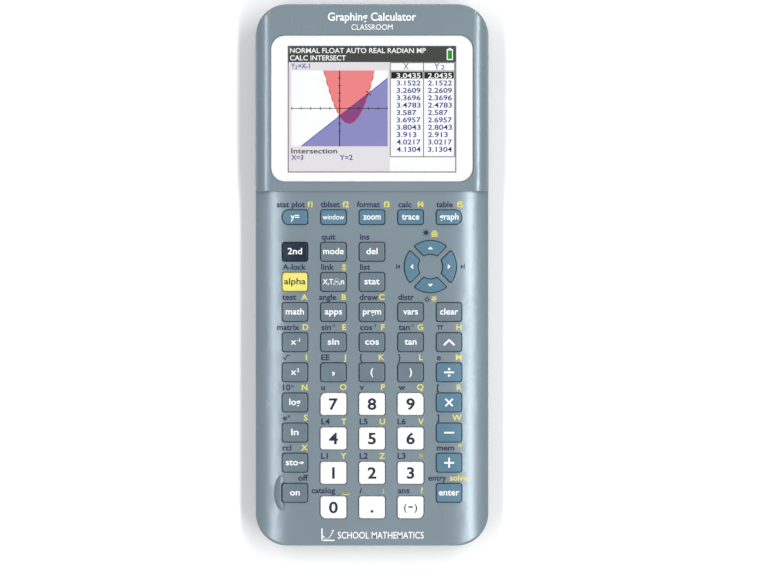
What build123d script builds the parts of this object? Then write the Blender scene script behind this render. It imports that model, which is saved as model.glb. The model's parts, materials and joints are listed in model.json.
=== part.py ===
"""A pocket graphing calculator lying on its back: +X to its right, +Y to the display end, +Z out of its face.

The origin is on the surface it rests on, under the middle of the body. Every size is in millimetres.
Each sub-part is one node: two shells, the display with its window, the battery and its cover, the
circuit board, the rubber key sheet, the screws, the reset plunger and fifty keys that each travel.
"""

import os
from math import hypot

from build123d import *

# ---------------------------------------------------------------- overall sizes
BODY_WIDTH = 79.4
BODY_LENGTH = 184.2
HEAD_LENGTH = 63.7  # the raised part round the display
CORNER_RADIUS = 10.9
SIDE_WALL = 1.8
REAR_WALL = 1.8
FOOT_STAND = 0.6  # how far the feet hold the rear shell off the table
PARTING_HEIGHT = 8.6  # where the rear shell meets the front shell
REAR_EDGE_RADIUS = 3.0
REAR_INNER_RADIUS = 1.4

# ---------------------------------------------------------------- front faces
KEYPAD_FACE = 14.2
KEYPAD_PLATE = 1.5  # thickness of the plate that the keys come through
HEAD_STEP = 0.8  # how far the head's face stands above the keypad's
HEAD_PLATE = 1.8
SEAM_EDGE = 0.25  # rounding along the head's edge at the step
SEAM_NOTCH = 0.35  # the fine groove round the body at the step
# Both faces fall away to the sides along part of an ellipse: reach, depth, and how far
# outside the side wall that ellipse would end.
KEYPAD_ROLL = (16.4, 5.2, 1.2)
HEAD_ROLL = (5.4, 4.0, 0.3)
RIM_RADIUS = 0.9  # rounding where the front meets the side walls
HEAD_INNER_SETBACK = 1.0  # the head's hollow starts this far past the step

# The rear shell's lip stands up inside the front shell's wall.
LIP_HEIGHT = 0.9
LIP_ROOT = 1.2
LIP_THICKNESS = 0.8
LIP_CLEARANCE = 0.06

# ---------------------------------------------------------------- keys
KEYS_SIDE_INSET = 9.22  # from the body's side to the outer grey keys
LAST_ROW_INSET = 18.06  # from the lower end to the middle of the last row
FIRST_ROW_PLACE = 2.0015  # from the step to the first row under the function keys, counted in rows
GREY_KEY_SHARE = (0.6526, 0.6151)  # of the pitch, across and along
COLUMN_PITCH = (BODY_WIDTH - 2 * KEYS_SIDE_INSET) / (4 + GREY_KEY_SHARE[0])
ROW_PITCH = (BODY_LENGTH - HEAD_LENGTH - LAST_ROW_INSET) / (FIRST_ROW_PLACE + 8)
NUMBER_PITCH = ROW_PITCH * 8 / 7
FUNCTION_ROW_PLACE = 0.8543  # from the step to the middle of the function row, counted in rows
KEY_GAP = 0.25  # between a cap and the edge of its hole
KEY_RISE = 1.0  # how far a cap stands above the face round it
KEY_EDGE = 0.4
KEY_SKIN = 1.2  # thickness of a cap's top
KEY_SIDE = 1.0  # thickness of a cap's sides
KEY_FOOT = 11.4  # height of a cap's underside
FLANGE_REACH = 0.6
FLANGE_CLEARANCE = 0.05  # under the plate
STEM_RADIUS = 1.3
GREY_KEY = (COLUMN_PITCH * GREY_KEY_SHARE[0], ROW_PITCH * GREY_KEY_SHARE[1])
FUNCTION_KEY = (GREY_KEY[0], ROW_PITCH * 0.4735)
NUMBER_KEY = (COLUMN_PITCH * 0.6755, NUMBER_PITCH * 0.645)
KEY_CORNER = 0.9
FUNCTION_END_CORNER = FUNCTION_KEY[1] * 0.4536  # outer corners of the first and last function key
NUMBER_END_CORNER = 1.9  # outer corners of the number block

# ---------------------------------------------------------------- arrow keys
ARROW_COLUMN = 3.515  # counted in columns from the first
ARROW_ROW_PLACE = 2.4945  # from the step to the middle of the four arrow keys, counted in rows
ARROW_OUTER = ROW_PITCH * 0.8592
ARROW_INNER = ROW_PITCH * 0.4198
ARROW_BAR = 2.1  # between two arrow caps
ARROW_CORNER = 0.5
ARROW_STEM = ROW_PITCH * 0.6444  # from the middle of the pad to each arrow's stem
PAD_DOME_RISE = 0.3  # the disc inside the four arrows is a low dome

# ---------------------------------------------------------------- guard beside the on key
GUARD_WALL_X = 3.7  # from the on key's middle to the guard's upright wall
GUARD_RISE = 0.8  # its highest point above the flat keypad face
GUARD_ROUND = 4.6  # its radius, seen along the body
GUARD_HALF_LENGTH = ROW_PITCH * 0.93  # of the whole round, most of it sunk in the face
GUARD_EDGE = 0.25
GUARD_GAP = 0.1  # past the on key's hole

# ---------------------------------------------------------------- rubber key sheet and board
SHEET_MARGIN = 5.6  # past the middles of the outer keys
SHEET_END_MARGIN = 5.4  # past the middles of the last row
SHEET_CONNECTOR_GAP = 0.85  # from the sheet's other end to the ribbon's connector
SHEET_THICKNESS = 0.5
DOME_BASE = 2.5
DOME_TOP = 1.6
DOME_WALL = 0.55
BOARD_UNDER = 8.4  # height of the board's underside
BOARD_THICKNESS = 1.0
BOARD_SIDE_MARGIN = 3.5
BOARD_LOW_MARGIN = 7.1
BOARD_HIGH_MARGIN = 10.1
BOARD_CORNER = 6.0
BOARD_NOTCH = 0.5  # clearance round each screw post

# ---------------------------------------------------------------- display
WINDOW_SIDE_MARGIN = 5.3
WINDOW_LENGTH = 49.8
WINDOW_STEP_MARGIN = 3.3  # from the step to the window
WINDOW_CORNER = 4.8
WINDOW_THICKNESS = 1.0
WINDOW_GAP = 0.15
WINDOW_EDGE = 0.12
GLASS_SIDE_MARGIN = 4.2  # from the window's edge in to the glass
GLASS_END_MARGIN = 1.7
GLASS_THICKNESS = 1.4
GLASS_TO_WINDOW = 0.2
GLASS_GAP = 0.5  # round the glass, in the opening under the window
MODULE_MARGIN = 0.2
MODULE_THICKNESS = 2.5
MODULE_CORNER = 1.0
FLEX_WIDTH = 22.0
FLEX_THICKNESS = 0.2
CONNECTOR_SIZE = (24.0, 3.0, 0.9)
CONNECTOR_DROP = 1.0  # from the step

# ---------------------------------------------------------------- screws
SCREW_RADIUS = 1.0
SCREW_CLEARANCE = 0.03  # in the holes they bite into
SCREW_PASS_GAP = 0.15  # in the holes they pass through
SCREW_HEAD_RADIUS = 1.9
SCREW_HEAD_HEIGHT = 1.2
SCREW_LENGTH = 8.0
SCREW_SEAT = 3.4  # height of the seat under a case screw's head
SCREW_SLOT = (2.2, 0.5, 0.5)  # cross slot: length, width, depth
SCREW_HOLE_SPARE = 0.2  # past the tip
HEAD_RECESS_GAP = 0.25
POST_RADIUS = 2.4
POST_FOOT = 4.6  # height at which the front posts stand on the rear bosses
BOSS_WALL = 1.0
POST_SIDE_GAP = 0.14  # between a post and the rear shell's lip
LOW_POST_INSET = 14.1
MIDDLE_POST_DROP = 2.2
HIGH_POST_INSETS = (9.7, 6.1)
COVER_SCREW_HEAD_HEIGHT = 0.8
COVER_SCREW_SEAT = 1.0  # from the rear face up to the seat
COVER_SCREW_LENGTH = 4.0
COVER_SCREW_INSETS = (5.0, 2.9)
COVER_BOSS_RADIUS = 2.2
COVER_BOSS_TOP = 7.4

# ---------------------------------------------------------------- battery bay
COVER_WIDTH = 60.0
COVER_LENGTH = 50.0
COVER_CORNER = 4.0
COVER_GAP = 0.2
COVER_SHIFT = 1.6  # its middle is this far past the step
LEDGE_BORDER = 1.6  # the ledge laps this far over the rear wall
LEDGE_THICKNESS = 1.0
BAY_WIDTH = 52.0
BAY_LENGTH = 38.0
BAY_SHIFT = 2.0  # its middle is this far below the cover's
BAY_WALL = 1.2
BAY_CEILING = 0.6
BAY_TOP_GAP = 0.2  # under the board
BATTERY_WIDTH = 50.0
BATTERY_LENGTH = 31.0
BATTERY_HEADROOM = 0.25  # under the bay's ceiling
BATTERY_EDGE = 1.0
BATTERY_GAP = 0.05
WIRE_RADIUS = 0.45
WIRE_PITCH = 1.3
WIRE_BEND = 1.2
WIRE_RUN = 6.0
JACK_SIZE = (5.4, 4.8, 4.2)
JACK_X = 18.0
JACK_END_GAP = 0.8  # from the bay's end wall
JACK_WALL = 0.8
JACK_DEPTH = 3.6
PLUG_LENGTH = 4.4
PLUG_INSERTED = 3.2
PLUG_GAP = 0.1
CEILING_GAP = 0.3  # round the jack, in the bay's ceiling
TAB_WIDTH = 6.0
TAB_X = 16.0
TAB_THICKNESS = 0.7
TAB_REACH = 1.0
TAB_GAP = 0.15
GRIP_COUNT = 3
GRIP_PITCH = 2.0
GRIP_SIZE = (18.0, 0.9, 0.4)
GRIP_INSET = 5.0

# ---------------------------------------------------------------- ports and small parts
PORT_INSET = 22.1  # from the display end
PORT_WIDTH = 9.4
PORT_LOW = 4.0
SOCKET_SIZE = (9.2, 7.7, 3.9)
SOCKET_WALL = 0.4
SOCKET_BACK = 1.5
SOCKET_SETBACK = 1.2
SOCKET_TONGUE = (6.2, 4.6, 0.9)
LIGHT_DROP = 8.5  # from the port to the charge light
LIGHT_HEIGHT = 7.0
LIGHT_RADIUS = 0.8
LIGHT_CLEARANCE = 0.08
LIGHT_BODY = (3.0, 2.4, 2.2)
LIGHT_TIP = 0.1  # short of the side wall's face
GROOVE_DEPTH = 0.7
GROOVE_LOW = 5.4
GROOVE_HIGH = 6.6
GROOVE_END_INSET = 36.0
FOOT_RADIUS = 4.0
FOOT_POCKET = 0.3
FOOT_EDGE = 0.2
FOOT_INSETS = (11.7, 13.1)
RESET_INSET = 29.1  # from the display end
RESET_RADIUS = 1.3
RESET_CLEARANCE = 0.12
RESET_FLANGE_RADIUS = 2.2
RESET_FLANGE_HEIGHT = 0.8
RESET_RECESS = 0.7  # its tip stays this far inside the rear face
RESET_SLEEVE_WALL = 1.0
RESET_SLEEVE_TOP = 5.0
SWITCH_SIZE = (6.0, 6.0, 2.2)
SWITCH_BORE = 1.0
RESET_ENGAGED = 0.4  # how far its stem stands in the switch at rest
BOARD_POST_RADIUS = 1.6
BOARD_POST_X = 24.0
BOARD_POST_ENDS = (22.1, 62.1)  # from the lower end
BOARD_HIGH_POST = (22.0, 14.1)  # across, and from the display end
CHIP_DROPS = [  # parts under the board: across, below the step, then width, length and height
    (-11.0, 68.0, 14.0, 14.0, 1.4),
    (8.0, 70.0, 10.0, 8.0, 1.1),
    (10.0, 52.0, 6.0, 5.0, 1.0),
    (-14.0, 50.0, 5.0, 3.2, 1.0),
    (-12.0, -44.0, 7.0, 7.0, 1.2),
]

# ---------------------------------------------------------------- what follows from those sizes
HALF_WIDTH = BODY_WIDTH / 2
HALF_LENGTH = BODY_LENGTH / 2
POST_SIDE_INSET = SIDE_WALL + LIP_CLEARANCE + LIP_THICKNESS + POST_SIDE_GAP + POST_RADIUS
SEAM_Y = HALF_LENGTH - HEAD_LENGTH
HEAD_FACE = KEYPAD_FACE + HEAD_STEP
REAR_FACE = FOOT_STAND
REAR_INSIDE = REAR_FACE + REAR_WALL
KEYPAD_INSIDE = KEYPAD_FACE - KEYPAD_PLATE
HEAD_INSIDE = HEAD_FACE - HEAD_PLATE
KEY_TOP = KEYPAD_FACE + KEY_RISE
BOARD_TOP = BOARD_UNDER + BOARD_THICKNESS
SHEET_TOP = BOARD_TOP + SHEET_THICKNESS
FIRST_ROW_Y = SEAM_Y - ROW_PITCH * FIRST_ROW_PLACE
NUMBER_ROW_Y = FIRST_ROW_Y - ROW_PITCH * 5.05
ARROW_X = (ARROW_COLUMN - 2) * COLUMN_PITCH
ARROW_Y = SEAM_Y - ROW_PITCH * ARROW_ROW_PLACE
WINDOW_WIDTH = BODY_WIDTH - 2 * WINDOW_SIDE_MARGIN
WINDOW_Y = SEAM_Y + WINDOW_STEP_MARGIN + WINDOW_LENGTH / 2
WINDOW_UNDER = HEAD_FACE - WINDOW_THICKNESS
GLASS_WIDTH = WINDOW_WIDTH - 2 * GLASS_SIDE_MARGIN
GLASS_LENGTH = WINDOW_LENGTH - 2 * GLASS_END_MARGIN
GLASS_TOP = WINDOW_UNDER - GLASS_TO_WINDOW
GLASS_UNDER = GLASS_TOP - GLASS_THICKNESS
MODULE_WIDTH = WINDOW_WIDTH - 2 * MODULE_MARGIN
MODULE_UNDER = HEAD_INSIDE - MODULE_THICKNESS
COVER_Y = SEAM_Y + COVER_SHIFT
BAY_Y = COVER_Y - BAY_SHIFT
BAY_TOP = BOARD_UNDER - BAY_TOP_GAP
BAY_INSIDE_TOP = BAY_TOP - BAY_CEILING
LEDGE_TOP = REAR_INSIDE + LEDGE_THICKNESS
BATTERY_LOW = REAR_INSIDE + BATTERY_GAP
BATTERY_THICKNESS = BAY_INSIDE_TOP - BATTERY_HEADROOM - BATTERY_LOW
BATTERY_Y = BAY_Y - (BAY_LENGTH - BATTERY_LENGTH) / 2 + BATTERY_GAP
JACK_Y = BAY_Y + BAY_LENGTH / 2 - JACK_END_GAP - JACK_SIZE[1] / 2
JACK_Z = BOARD_UNDER - JACK_SIZE[2] / 2
PORT_Y = HALF_LENGTH - PORT_INSET
LIGHT_Y = PORT_Y - LIGHT_DROP
RESET_Y = HALF_LENGTH - RESET_INSET
SWITCH_UNDER = BOARD_UNDER - SWITCH_SIZE[2]
BOARD_WIDTH = BODY_WIDTH - 2 * BOARD_SIDE_MARGIN
BOARD_LENGTH = BODY_LENGTH - BOARD_LOW_MARGIN - BOARD_HIGH_MARGIN
BOARD_Y = (BOARD_LOW_MARGIN - BOARD_HIGH_MARGIN) / 2
ABOVE = HEAD_FACE + 10  # clear above everything
BELOW = -10.0  # clear below everything
SIDES = (-1, 1)
POST_PLACES = [
    *((s * (HALF_WIDTH - POST_SIDE_INSET), LOW_POST_INSET - HALF_LENGTH) for s in SIDES),
    *((s * (HALF_WIDTH - POST_SIDE_INSET), SEAM_Y - MIDDLE_POST_DROP) for s in SIDES),
    *((s * (HALF_WIDTH - HIGH_POST_INSETS[0]), HALF_LENGTH - HIGH_POST_INSETS[1]) for s in SIDES),
]
COVER_SCREW_PLACES = [
    (s * (COVER_WIDTH / 2 - COVER_SCREW_INSETS[0]), COVER_Y + COVER_LENGTH / 2 - COVER_SCREW_INSETS[1])
    for s in SIDES
]
FOOT_PLACES = [
    (s * (HALF_WIDTH - FOOT_INSETS[0]), end * (HALF_LENGTH - FOOT_INSETS[1]))
    for s in SIDES
    for end in SIDES
]
BOARD_POSTS = [
    *((s * BOARD_POST_X, inset - HALF_LENGTH) for s in SIDES for inset in BOARD_POST_ENDS),
    *((s * BOARD_HIGH_POST[0], HALF_LENGTH - BOARD_HIGH_POST[1]) for s in SIDES),
]


# ---------------------------------------------------------------- small builders
def block(width, length, low, high, x=0.0, y=0.0):
    """A box centred at x, y, from height low to height high."""
    return Pos(x, y, (low + high) / 2) * Box(width, length, high - low)


def prism(plan, low, high, x=0.0, y=0.0):
    """An upright prism over a flat outline."""
    return Pos(x, y, low) * extrude(plan, amount=high - low)


def rounded_block(width, length, radius, low, high, x=0.0, y=0.0):
    """An upright prism over a rectangle with rounded corners."""
    return prism(RectangleRounded(width, length, radius), low, high, x, y)


def rod(radius, low, high, x=0.0, y=0.0):
    """An upright cylinder from height low to height high."""
    return Pos(x, y, (low + high) / 2) * Cylinder(radius, high - low)


def body_block(inset, low, high):
    """The body's plan, taken in by inset, from height low to height high."""
    return rounded_block(
        BODY_WIDTH - 2 * inset, BODY_LENGTH - 2 * inset, CORNER_RADIUS - inset, low, high
    )


def crown_bar(roll, top, y_low, y_high):
    """A bar along Y with a flat top in the middle that falls along an ellipse to each side."""
    reach, depth, overshoot = roll
    flat = HALF_WIDTH + overshoot - reach
    shoulder = top - depth
    outline = Pos(0, (shoulder + BELOW) / 2) * Rectangle(2 * (flat + reach), shoulder - BELOW)
    outline += Pos(0, (top + BELOW) / 2) * Rectangle(2 * flat, top - BELOW)
    outline += [Pos(side * flat, shoulder) * Ellipse(reach, depth) for side in SIDES]
    upright = Plane(origin=(0, y_high, 0), x_dir=(1, 0, 0), z_dir=(0, -1, 0))
    return extrude(upright * outline, amount=y_high - y_low)


def keypad_bar(top):
    """The keypad's crown at a given height, over the whole length of the body."""
    return crown_bar(KEYPAD_ROLL, top, -HALF_LENGTH - 1, HALF_LENGTH + 1)


# ---------------------------------------------------------------- keys: where each one is
def plan_with_corners(width, length, radius, end_radius=0.0, ends=()):
    """A rounded rectangle whose corners named in ends, as (right, upper) signs, use end_radius."""
    plan = Rectangle(width, length)
    plain = [v for v in plan.vertices() if (v.X > 0, v.Y > 0) not in ends]
    plan = fillet(plain, radius) if plain else plan
    sharp = [
        v
        for v in plan.vertices()
        if abs(abs(v.X) - width / 2) < radius / 10 and abs(abs(v.Y) - length / 2) < radius / 10
    ]
    return fillet(sharp, end_radius) if sharp else plan


def column_x(index):
    """Middle of a key column, counted from the left."""
    return (index - 2) * COLUMN_PITCH


def row_y(index):
    """Middle of a row of plain keys, counted down from the row under the function keys."""
    return FIRST_ROW_Y - index * ROW_PITCH


LEFT_ENDS = ((False, True), (False, False))
RIGHT_ENDS = ((True, True), (True, False))
FUNCTION_ROW = ["y_equals", "window", "zoom", "trace", "graph"]
PLAIN_ROWS = [
    {0: "second", 1: "mode", 2: "delete"},
    {0: "alpha", 1: "variable", 2: "statistics"},
    {0: "math", 1: "apps", 2: "program", 3: "vars", 4: "clear"},
    {0: "reciprocal", 1: "sine", 2: "cosine", 3: "tangent", 4: "power"},
    {0: "square", 1: "comma", 2: "open_bracket", 3: "close_bracket", 4: "divide"},
    {0: "log", 4: "multiply"},
    {0: "natural_log", 4: "minus"},
    {0: "store", 4: "plus"},
    {0: "on", 4: "enter"},
]
NUMBER_ROWS = [["7", "8", "9"], ["4", "5", "6"], ["1", "2", "3"], ["0", "point", "negative"]]
NUMBER_ENDS = {
    "7": ((False, True),),
    "9": ((True, True),),
    "0": ((False, False),),
    "negative": ((True, False),),
}
ON_X = column_x(0)
ON_Y = row_y(len(PLAIN_ROWS) - 1)


def rectangular_keys():
    """Name, middle, size, end radius and end corners of every key that is not an arrow."""
    found = []
    for index, name in enumerate(FUNCTION_ROW):
        ends = LEFT_ENDS if index == 0 else RIGHT_ENDS if index == len(FUNCTION_ROW) - 1 else ()
        place = (column_x(index), SEAM_Y - ROW_PITCH * FUNCTION_ROW_PLACE)
        found.append((name, place, FUNCTION_KEY, FUNCTION_END_CORNER, ends))
    for row, names in enumerate(PLAIN_ROWS):
        for column, name in names.items():
            found.append((name, (column_x(column), row_y(row)), GREY_KEY, 0.0, ()))
    for row, names in enumerate(NUMBER_ROWS):
        for column, name in enumerate(names):
            place = (column_x(column + 1), NUMBER_ROW_Y - row * NUMBER_PITCH)
            found.append((name, place, NUMBER_KEY, NUMBER_END_CORNER, NUMBER_ENDS.get(name, ())))
    return found


ARROWS = {"up": (0, 1), "down": (0, -1), "left": (-1, 0), "right": (1, 0)}
KEYS = rectangular_keys()


def key_plan(size, end_radius, ends, grow):
    """A rectangular key's outline with every side moved out by grow."""
    end = end_radius + grow if ends else 0.0
    return plan_with_corners(size[0] + 2 * grow, size[1] + 2 * grow, KEY_CORNER + grow / 2, end, ends)


def arrow_plan(direction, grow):
    """The quarter of a ring an arrow cap fills, with every side moved out by grow."""
    ring = Circle(ARROW_OUTER + grow) - Circle(ARROW_INNER - grow)
    for angle in (45, 135):
        ring -= Rot(0, 0, angle) * Rectangle(3 * ARROW_OUTER, ARROW_BAR - 2 * grow)
    quarter = Sketch() + ring.faces().sort_by(Axis((0, 0, 0), (*direction, 0)))[-1]
    return fillet(quarter.vertices(), ARROW_CORNER)


# ---------------------------------------------------------------- keys: solids
def rounded_cap(cap, edge):
    """A cap with the edge round its top softened."""
    flat = HALF_WIDTH + KEYPAD_ROLL[2] - KEYPAD_ROLL[0]
    rim = [
        e
        for e in cap.edges()
        if e.center().Z > KEY_FOOT + KEY_SKIN * 1.5
        and abs(e.tangent_at(0.5).Z) < 0.9
        and abs(abs(e.center().X) - flat) > 0.01
    ]
    # The rounding is narrower than the strip that the crown's start leaves along a cap's side.
    extent = cap.bounding_box()
    strip = min(abs(abs(side) - flat) for side in (extent.min.X, extent.max.X))
    return fillet(rim, min(edge, 0.8 * strip))


def key_body(cap_plan, flange_plan, x, y):
    """A cap that follows the keypad's crown, on a flange that stops it under the plate."""
    cap = rounded_cap(prism(cap_plan, KEY_FOOT, ABOVE, x, y) & keypad_bar(KEY_TOP), KEY_EDGE)
    flange_top = KEYPAD_INSIDE - FLANGE_CLEARANCE
    return cap + (prism(flange_plan, KEY_FOOT, ABOVE, x, y) & keypad_bar(flange_top))


def rectangular_key(place, size, end_radius, ends):
    """A moulded key: thin top and sides, with a stem in the middle that pushes on its dome."""
    cap_plan = key_plan(size, end_radius, ends, 0.0)
    body = key_body(cap_plan, key_plan(size, end_radius, ends, FLANGE_REACH), *place)
    hollow = (size[0] - 2 * KEY_SIDE, size[1] - 2 * KEY_SIDE)
    body -= block(*hollow, BELOW, KEY_TOP - KEY_SKIN, *place)
    return body + rod(STEM_RADIUS, KEY_FOOT, KEY_TOP - KEY_SKIN / 2, *place)


def arrow_key(direction):
    """One solid arrow cap with its flange."""
    return key_body(arrow_plan(direction, 0.0), arrow_plan(direction, FLANGE_REACH), ARROW_X, ARROW_Y)


def dome_places():
    """Where the rubber sheet has a dome: under the stem of every key."""
    arrows = [(ARROW_X + dx * ARROW_STEM, ARROW_Y + dy * ARROW_STEM) for dx, dy in ARROWS.values()]
    return [place for _, place, *_ in KEYS] + arrows


def key_holes():
    """Prisms for all the holes in the keypad plate."""
    holes = [
        prism(key_plan(size, end_radius, ends, KEY_GAP), BOARD_TOP, ABOVE, *place)
        for _, place, size, end_radius, ends in KEYS
    ]
    holes += [
        prism(arrow_plan(direction, KEY_GAP), BOARD_TOP, ABOVE, ARROW_X, ARROW_Y)
        for direction in ARROWS.values()
    ]
    return holes


# ---------------------------------------------------------------- front shell
def body_half(inset, roll, top, y_low, y_high):
    """The body's plan taken in by inset, under a crown, between two places along Y."""
    return body_block(inset, PARTING_HEIGHT, ABOVE) & crown_bar(roll, top, y_low, y_high)


def off_outline(point):
    """How far a point is from the body's outline, seen from above."""
    dx = abs(point.X) - (HALF_WIDTH - CORNER_RADIUS)
    dy = abs(point.Y) - (HALF_LENGTH - CORNER_RADIUS)
    reach = hypot(dx, dy) if dx > 0 and dy > 0 else max(dx, dy)
    return abs(reach - CORNER_RADIUS)


def soften_rim(part):
    """Round the edge where a front face meets the side walls."""
    rim = [
        e
        for e in part.edges()
        if e.position_at(0.5).Z > PARTING_HEIGHT + RIM_RADIUS
        and off_outline(e.position_at(0.5)) < RIM_RADIUS / 100
        and abs(e.tangent_at(0.5).Z) < 0.95
    ]
    return fillet(rim, RIM_RADIUS)


def on_key_guard():
    """The swelling beside the on key: an upright wall, a rounded crest round the key, sloping sides."""
    wall_x = ON_X - GUARD_WALL_X
    middle_z = KEYPAD_FACE + GUARD_RISE - GUARD_ROUND
    half = Ellipse(GUARD_ROUND, GUARD_HALF_LENGTH)
    half &= Pos(GUARD_ROUND, 0) * Rectangle(2 * GUARD_ROUND, 2 * GUARD_HALF_LENGTH)
    swelling = Pos(wall_x, ON_Y, middle_z) * revolve(half, Axis.Y, 360)
    swelling -= block(4 * GUARD_ROUND, 4 * ROW_PITCH, BELOW, ABOVE, wall_x + 2 * GUARD_ROUND, ON_Y)
    spare = 2 * (KEY_GAP + GUARD_GAP)
    swelling -= rounded_block(
        GREY_KEY[0] + spare, GREY_KEY[1] + spare, KEY_CORNER, BELOW, ABOVE, ON_X, ON_Y
    )
    crest = [
        e
        for e in swelling.edges()
        if e.center().Z > KEYPAD_FACE and e.center().X < wall_x - 0.1 and abs(e.center().Y - ON_Y) < ROW_PITCH / 2
    ]
    return fillet(crest, GUARD_EDGE)


def front_shell():
    """The upper shell: keypad plate, raised head, window opening and six screw posts."""
    low, high = -HALF_LENGTH - 1, HALF_LENGTH + 1
    keypad = soften_rim(body_half(0, KEYPAD_ROLL, KEYPAD_FACE, low, SEAM_Y + 1))
    head = soften_rim(body_half(0, HEAD_ROLL, HEAD_FACE, SEAM_Y, high))
    step = [
        e
        for e in head.edges()
        if abs(e.position_at(0.5).Y - SEAM_Y) < 0.01 and abs(e.tangent_at(0.5).Z) < 0.95
    ]
    head = fillet([e for e in step if e.position_at(0.5).Z > PARTING_HEIGHT + 1], SEAM_EDGE)
    shell = keypad + head
    hollow = body_block(SIDE_WALL, BELOW, ABOVE)
    keypad_hollow = hollow & crown_bar(KEYPAD_ROLL, KEYPAD_INSIDE, low, high)
    head_start = SEAM_Y + HEAD_INNER_SETBACK
    head_hollow = hollow & crown_bar(HEAD_ROLL, HEAD_INSIDE, head_start, high)
    shell -= keypad_hollow & block(BODY_WIDTH, BODY_LENGTH, BELOW, ABOVE, 0, head_start - HALF_LENGTH)
    shell -= head_hollow
    notch = body_block(-1, PARTING_HEIGHT - 1, ABOVE)
    notch -= body_block(SEAM_NOTCH, PARTING_HEIGHT - 2, KEYPAD_FACE)
    shell -= notch & block(3 * BODY_WIDTH, SEAM_NOTCH, BELOW, KEYPAD_FACE, 0, SEAM_Y)
    shell += on_key_guard() - keypad_hollow
    for place in POST_PLACES:
        ceiling = keypad_hollow if place[1] < SEAM_Y else head_hollow
        shell += rod(POST_RADIUS, POST_FOOT, ABOVE, *place) & ceiling
    pilot = SCREW_SEAT + SCREW_LENGTH + SCREW_HOLE_SPARE
    shell -= [rod(SCREW_RADIUS + SCREW_CLEARANCE, BELOW, pilot, *place) for place in POST_PLACES]
    shell -= rounded_block(
        WINDOW_WIDTH + 2 * WINDOW_GAP, WINDOW_LENGTH + 2 * WINDOW_GAP, WINDOW_CORNER + WINDOW_GAP,
        WINDOW_UNDER, ABOVE, 0, WINDOW_Y,
    )
    opening = (GLASS_WIDTH + 2 * GLASS_GAP, GLASS_LENGTH + 2 * GLASS_GAP)
    shell -= block(*opening, BOARD_TOP, ABOVE, 0, WINDOW_Y)
    for hole in key_holes():
        shell -= hole
    return shell


# ---------------------------------------------------------------- rear shell
def port_opening():
    """What is cut from the side wall for the data socket."""
    depth = 4 * SIDE_WALL
    return block(depth, PORT_WIDTH, PORT_LOW, PARTING_HEIGHT, HALF_WIDTH, PORT_Y)


def cover_tabs(gap):
    """The cover's two tabs, each side moved out by gap: a root on the cover and a lip past its edge."""
    edge = COVER_Y - COVER_LENGTH / 2
    tabs = []
    for side in SIDES:
        width = TAB_WIDTH + 2 * gap
        x = side * TAB_X
        root = edge + TAB_REACH / 2
        top = REAR_INSIDE + TAB_THICKNESS + TAB_GAP + gap
        tabs.append(block(width, TAB_REACH + 2 * gap, REAR_INSIDE - gap, top, x, root))
        reach = edge - TAB_REACH / 2
        tabs.append(block(width, TAB_REACH + 2 * gap, REAR_INSIDE + TAB_GAP - gap, top, x, reach))
    return tabs


def rear_tub():
    """The rear shell's walls, floor and lip before anything is added or cut."""
    outer = body_block(0, REAR_FACE, PARTING_HEIGHT)
    outer = fillet(outer.faces().sort_by(Axis.Z)[0].edges(), REAR_EDGE_RADIUS)
    inner = body_block(SIDE_WALL, REAR_INSIDE, PARTING_HEIGHT + 1)
    inner = fillet(inner.faces().sort_by(Axis.Z)[0].edges(), REAR_INNER_RADIUS)
    lip_inset = SIDE_WALL + LIP_CLEARANCE
    lip = body_block(lip_inset, PARTING_HEIGHT, PARTING_HEIGHT + LIP_HEIGHT)
    root = body_block(SIDE_WALL, PARTING_HEIGHT - LIP_ROOT, PARTING_HEIGHT)
    core = body_block(lip_inset + LIP_THICKNESS, BELOW, ABOVE)
    return outer - inner + (root - core) + (lip - core)


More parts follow.
